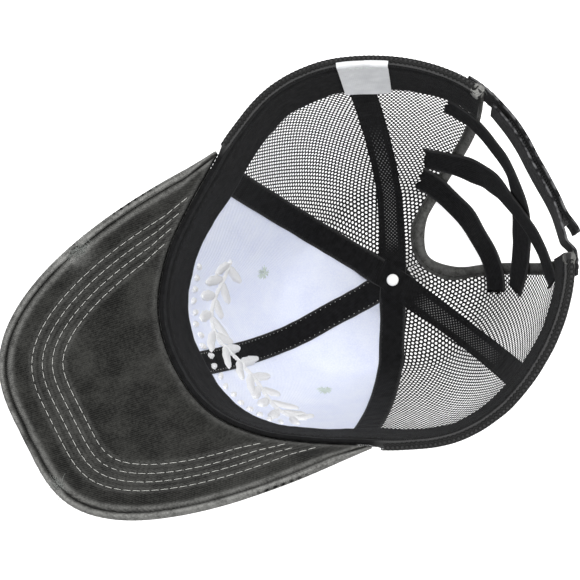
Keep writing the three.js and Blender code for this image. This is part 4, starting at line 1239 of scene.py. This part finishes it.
def satin(places, facing, level):
    """Raised satin-stitched leaves. Each place is its middle (arc, drop), turn, length and width in mm."""
    across = np.linspace(-1, 1, 9)
    along = np.linspace(-1, 1, 17)
    grid_l, grid_w = np.meshgrid(along, across, indexing="ij")
    points, plan, faces = [], [], []
    for number, (arc, drop, turn, length, width) in enumerate(places):
        half_width = width / 2 * np.maximum(0.12, (1 - np.abs(grid_l) ** 2.2)) ** 0.6
        local_l, local_w = grid_l * length / 2, grid_w * half_width
        ragged = 0.2 * np.sin(grid_l * 41 + number) * np.abs(grid_w) ** 3
        local_w = local_w + ragged * np.sign(grid_w)
        cos, sin = math.cos(turn), math.sin(turn)
        side = arc + local_l * cos - local_w * sin
        down = drop + local_l * sin + local_w * cos
        phi = side / 88.0
        t = t_at_drop(phi, down)
        dome = np.sqrt(np.clip(1 - np.abs(grid_w) ** 2.5, 0, 1))
        dome = dome * np.sqrt(np.clip(1 - np.abs(grid_l) ** 6, 0, 1))
        over_tape = 0.75 * (1 - smoothstep(np.abs(side), 6.0, 8.0)) * (facing < 0)
        height = level + facing * (1.5 * dome - 0.15 + over_tape)
        points.append(layer(phi, t, height).reshape(-1, 3))
        plan.append(np.stack([local_w, local_l], axis=-1).reshape(-1, 2))
        index = number * grid_l.size + np.arange(grid_l.size).reshape(grid_l.shape)
        faces.append(grid_quads(index, facing < 0))
    return np.concatenate(points), np.concatenate(faces), np.concatenate(plan)


def stem_drop(arc):
    return 61 + 6.5 * np.sin(arc / 10.5)


def ornament():
    leaves = []
    stem = np.linspace(-52, 54, 36)
    for first, second in zip(stem[:-1], stem[1:]):
        middle = (first + second) / 2
        slope = math.atan2(stem_drop(second) - stem_drop(first), second - first)
        leaves.append((middle, float(stem_drop(middle)), slope, 4.8, 2.1))
    for k, arc in enumerate(np.arange(-50, 52, 8.9)):
        slope = math.atan2(0.62 * math.cos(arc / 10.5), 1)
        for side in (-1, 1):
            turn = slope + side * math.radians(56)
            reach = 12.0 + 2.4 * math.sin(k * 2.1 + side)
            middle_arc = arc + side * 0.8 + math.cos(turn) * (reach / 2 + 0.9)
            middle_drop = float(stem_drop(arc)) + math.sin(turn) * (reach / 2 + 0.9)
            leaves.append((middle_arc, middle_drop, turn, reach + 1.6, 5.4))
    for arc in np.arange(-46, 48, 5.4):
        turn = math.radians(90 + 25 * math.sin(arc))
        leaves.append((arc, 39.5 + 1.2 * math.sin(arc * 1.7), turn, 4.4, 3.0))
    for facing, name in ((-1, "ornament_inside"), (1, "ornament_outside")):
        points, faces, plan = satin(leaves, facing, 0.95 * facing)
        place(add_object(name, points, faces, WHITE_SILK, plan), "thread")


# Small pieces

def turned(name, outline, material, turns=48, z=0.0):
    angles = np.linspace(0, 2 * math.pi, turns, endpoint=False)
    points, faces = [], []
    rings = []
    for radius, height in outline:
        if radius < 1e-6:
            rings.append([len(points)])
            points.append((0, 0, height + z))
        else:
            rings.append(list(range(len(points), len(points) + turns)))
            points.extend((radius * math.cos(a), radius * math.sin(a), height + z) for a in angles)
    for first, second in zip(rings[:-1], rings[1:]):
        for k in range(turns):
            n = (k + 1) % turns
            if len(first) == 1:
                faces.append((first[0], second[n], second[k]))
            elif len(second) == 1:
                faces.append((first[k], first[n], second[0]))
            else:
                faces.append((first[k], first[n], second[n], second[k]))
    points = np.array(points)
    return add_object(name, points, faces, material, points[:, :2], 0.35 * (points[:, 2] - z < 0.8))


def button_and_rivet():
    dome = [(0, 0), (2.2, 0.0), (4.2, 0.02), (5.2, 0.3), (6.1, 0.85), (6.7, 1.6), (6.98, 2.4), (6.8, 3.1),
            (6.3, 3.5), (5, 3.62), (1.3, 3.62), (1.3, 6.9), (0, 6.9)]
    button = turned("button_cloth", dome, COTTON)
    button.data.flip_normals()
    place(button, "washed_cotton", "top_button")
    disc = [(0, 0), (2.7, 0.0), (2.95, 0.25), (2.98, 0.5), (2.8, 0.85), (2.4, 1.08), (1.5, 1.2), (0, 1.22)]
    rivet = turned("rivet_disc", disc, RIVET, z=7.3)
    rivet.data.flip_normals()
    place(rivet, "rivet", "button_rivet")


def care_label():
    centre = math.radians(LABEL_ANGLE)
    half = LABEL_WIDTH / 2 / float(rim_radius(centre))

    def lift(u, v):
        phi = lerp(centre - half, centre + half, u) + 0.018 * v
        over_top = smoothstep(v, 0.0, 0.12)
        down = lerp(0.0, LABEL_HEIGHT + 0.4, np.maximum(0, v - 0.08) / 0.92) + 0.3 * np.sin(u * 7) * v
        t = t_at_drop(phi, down)
        curl = 0.9 * v ** 3 * np.sin(u * 2.6 + 0.4) + 0.2 * np.sin(u * 9) * (1 - v) ** 2 * over_top
        point = layer(phi, t, lerp(-0.9, -3.3, over_top) - curl)
        point[..., 2] += 1.75 * (1 - smoothstep(v, 0.04, 0.2))
        return point, crown_frame(phi, t)[2], 0.16

    label = sheet("care_label_ribbon", (LABEL_WIDTH, LABEL_HEIGHT), lift, LABEL, rounding=0.2, step=0.8)
    place(label, "label", "care_label")
    angles = np.linspace(centre - half * 0.93, centre + half * 0.93, 60)
    t = t_at_drop(angles, 1.6 + 0.35 * np.sin(np.linspace(0, 9, 60)))
    rows = [crown_line(angles, t, -3.6, inside=True)]
    sew("label_stitches", rows, 1.6, 0.9, 0.15, SAGE_THREAD)


def eyelets():
    for word, sign in SIDES:
        phi = sign * math.radians(EYELET_ANGLE)
        t = float(t_at_radius(phi, EYELET_DISTANCE))
        origin = crown(phi, t)
        around, _, normal = crown_frame(phi, t)
        east, north = unit(around), unit(np.cross(normal, around))
        turns = np.linspace(0, 2 * math.pi, 54, endpoint=False)
        radial = east[None] * np.cos(turns)[:, None] + north[None] * np.sin(turns)[:, None]
        starts = origin + normal * 1.15 + radial * 1.9
        ends = origin + normal * 1.15 + radial * (3.9 + 0.15 * np.sin(turns * 11))[:, None]
        points, faces = stitch_mesh(starts, ends, np.repeat(normal[None], 54, axis=0), 0.27, 1.6)
        ring = add_object(f"eyelet_thread_{word}", points, faces, GREY_THREAD)
        place(ring, "thread", f"eyelet_{word}")
        count = 70
        turns = rng.uniform(0, 2 * math.pi, count)
        radial = east[None] * np.cos(turns)[:, None] + north[None] * np.sin(turns)[:, None]
        reach = rng.uniform(1.2, 4.4, count)[:, None]
        starts = origin - normal * 0.95 + radial * rng.uniform(0, 1.6, count)[:, None]
        ends = origin - normal * 0.95 + radial * reach + rng.normal(0, 0.5, count)[:, None] * east
        points, faces = stitch_mesh(starts, ends, np.repeat(-normal[None], count, axis=0), 0.17, 1.4)
        place(add_object(f"eyelet_back_{word}", points, faces, SAGE_THREAD), "thread")


def loose_threads():
    """Frayed threads at the torn places of the brim's edge and at the ends of the binding."""
    points, faces = [], []

    def add_thread(path, radius):
        along = unit(np.gradient(path, axis=0))
        side = unit(np.cross(along, np.array([0.3, 0.2, 0.93])))
        up = np.cross(side, along)
        turns = np.radians([0, 72, 144, 216, 288])
        taper = np.linspace(1, 0.5, len(path))[:, None, None] * radius
        ring = side[:, None] * np.cos(turns)[None, :, None] + up[:, None] * np.sin(turns)[None, :, None]
        loops = path[:, None] + taper * ring
        new_points, new_faces = tube(loops)
        start = sum(len(p) for p in points)
        points.append(new_points)
        faces.extend([[index + start for index in face] for face in new_faces])

    for tear_x, tear_y, size in TEARS:
        nearest = int(np.argmin((EDGE_X - tear_x) ** 2 + (EDGE_Y - tear_y) ** 2))
        for _ in range(int(size * 13)):
            k = int(np.clip(nearest + rng.normal(0, size * 1.1), 5, 894))
            inwards = unit(np.array([50.0 - EDGE_X[k], -EDGE_Y[k] * 0.9]))
            along = unit(np.array([EDGE_X[k + 2] - EDGE_X[k - 2], EDGE_Y[k + 2] - EDGE_Y[k - 2]]))
            start = np.array([EDGE_X[k], EDGE_Y[k]]) + inwards * rng.uniform(0.6, 4.0)
            heading = along * rng.normal(0, 1) + inwards * rng.normal(0, 0.6)
            share = np.linspace(0, 1, 7)[:, None]
            bend = np.array([-heading[1], heading[0]]) * rng.normal(0, 0.35)
            flat = start + heading * share * rng.uniform(0.8, 2.8) + bend * share ** 2 * 2
            lifted = 3.75 + 0.9 * np.sin(share[:, 0] * math.pi) * rng.uniform(0.1, 1.0)
            path, _ = brim_surface(flat[:, 0], flat[:, 1], np.full(7, 30.0), lifted)
            add_thread(path, rng.uniform(0.1, 0.19))
    for sign in (-1, 1):
        for _ in range(16):
            phi = sign * (math.pi - math.radians(ARCH_ANGLE) - rng.uniform(0.0, 0.075))
            share = np.linspace(0, 1, 6)
            drop = rng.uniform(0.2, 2.0) + share * rng.uniform(1, 4)
            phis = phi + share * rng.normal(0, 0.02)
            path = layer(phis, t_at_drop(phis, drop), 1.95 + 0.25 * np.sin(share * math.pi))
            path[:, 2] += 0.6
            add_thread(path, rng.uniform(0.09, 0.15))
    place(add_object("frayed_threads", np.concatenate(points), faces, GREY_THREAD), "thread")


# Camera, light and floor

def look_from(position, target, lens):
    data = bpy.data.cameras.new("camera")
    data.lens, data.sensor_width = lens, 36
    data.clip_start, data.clip_end = 0.05, 20
    camera = bpy.data.objects.new("camera", data)
    bpy.context.scene.collection.objects.link(camera)
    view = (Vector(target) - Vector(position)).normalized()
    forward = Vector((1, 0, 0))
    forward = (forward - view * forward.dot(view)).normalized()
    beside = view.cross(forward)
    a, b = Vector((-0.8771, 0.4803)).normalized()
    right = forward * a - beside * b
    down = forward * b + beside * a
    camera.matrix_world = Matrix((
        (right.x, -down.x, -view.x, position[0]),
        (right.y, -down.y, -view.y, position[1]),
        (right.z, -down.z, -view.z, position[2]),
        (0, 0, 0, 1),
    ))
    bpy.context.scene.camera = camera


def area_light(name, position, target, size, power):
    data = bpy.data.lights.new(name, "AREA")
    data.shape, data.size, data.size_y, data.energy = "RECTANGLE", size, size * 0.8, power
    light = bpy.data.objects.new(name, data)
    light.location = position
    light.rotation_euler = (Vector(target) - Vector(position)).to_track_quat("-Z", "Y").to_euler()
    bpy.context.scene.collection.objects.link(light)


def studio():
    look_from((-0.0841, 0.1388, 1.117), (0.0345, -0.0045, 0.1175), 140.72)
    area_light("key", (-0.5, -0.9, 1.5), (0.03, 0, 0.05), 1.0, 10)
    area_light("fill", (0.9, 0.8, 1.2), (0.03, 0, 0.05), 1.2, 6)
    area_light("into_the_crown", (-0.42, 0.12, 1.25), (0.03, 0, 0.03), 0.7, 10.5)
    world = bpy.data.worlds.new("soft_studio")
    world.use_nodes = True
    world.node_tree.nodes["Background"].inputs["Color"].default_value = (1, 1, 1, 1)
    world.node_tree.nodes["Background"].inputs["Strength"].default_value = 0.75
    bpy.context.scene.world = world
    bpy.context.scene.view_settings.view_transform = "Standard"
    floor = add_object("floor", [(-3000, -3000, 0), (3000, -3000, 0), (3000, 3000, 0), (-3000, 3000, 0)],
                       [(0, 1, 2, 3)], floor_paper())


studio()
for side_word, side_sign in SIDES:
    net_panel(side_word, side_sign, "side", FRONT_SEAM, REAR_SEAM)
    net_panel(side_word, side_sign, "rear", REAR_SEAM, 180)
rim_net()
front_cloth()
topstitching()
seam_tapes()
tape_stitches()
sweatband()
arch_binding()
straps()
elastics()
brim()
ornament()
button_and_rivet()
care_label()
eyelets()
loose_threads()
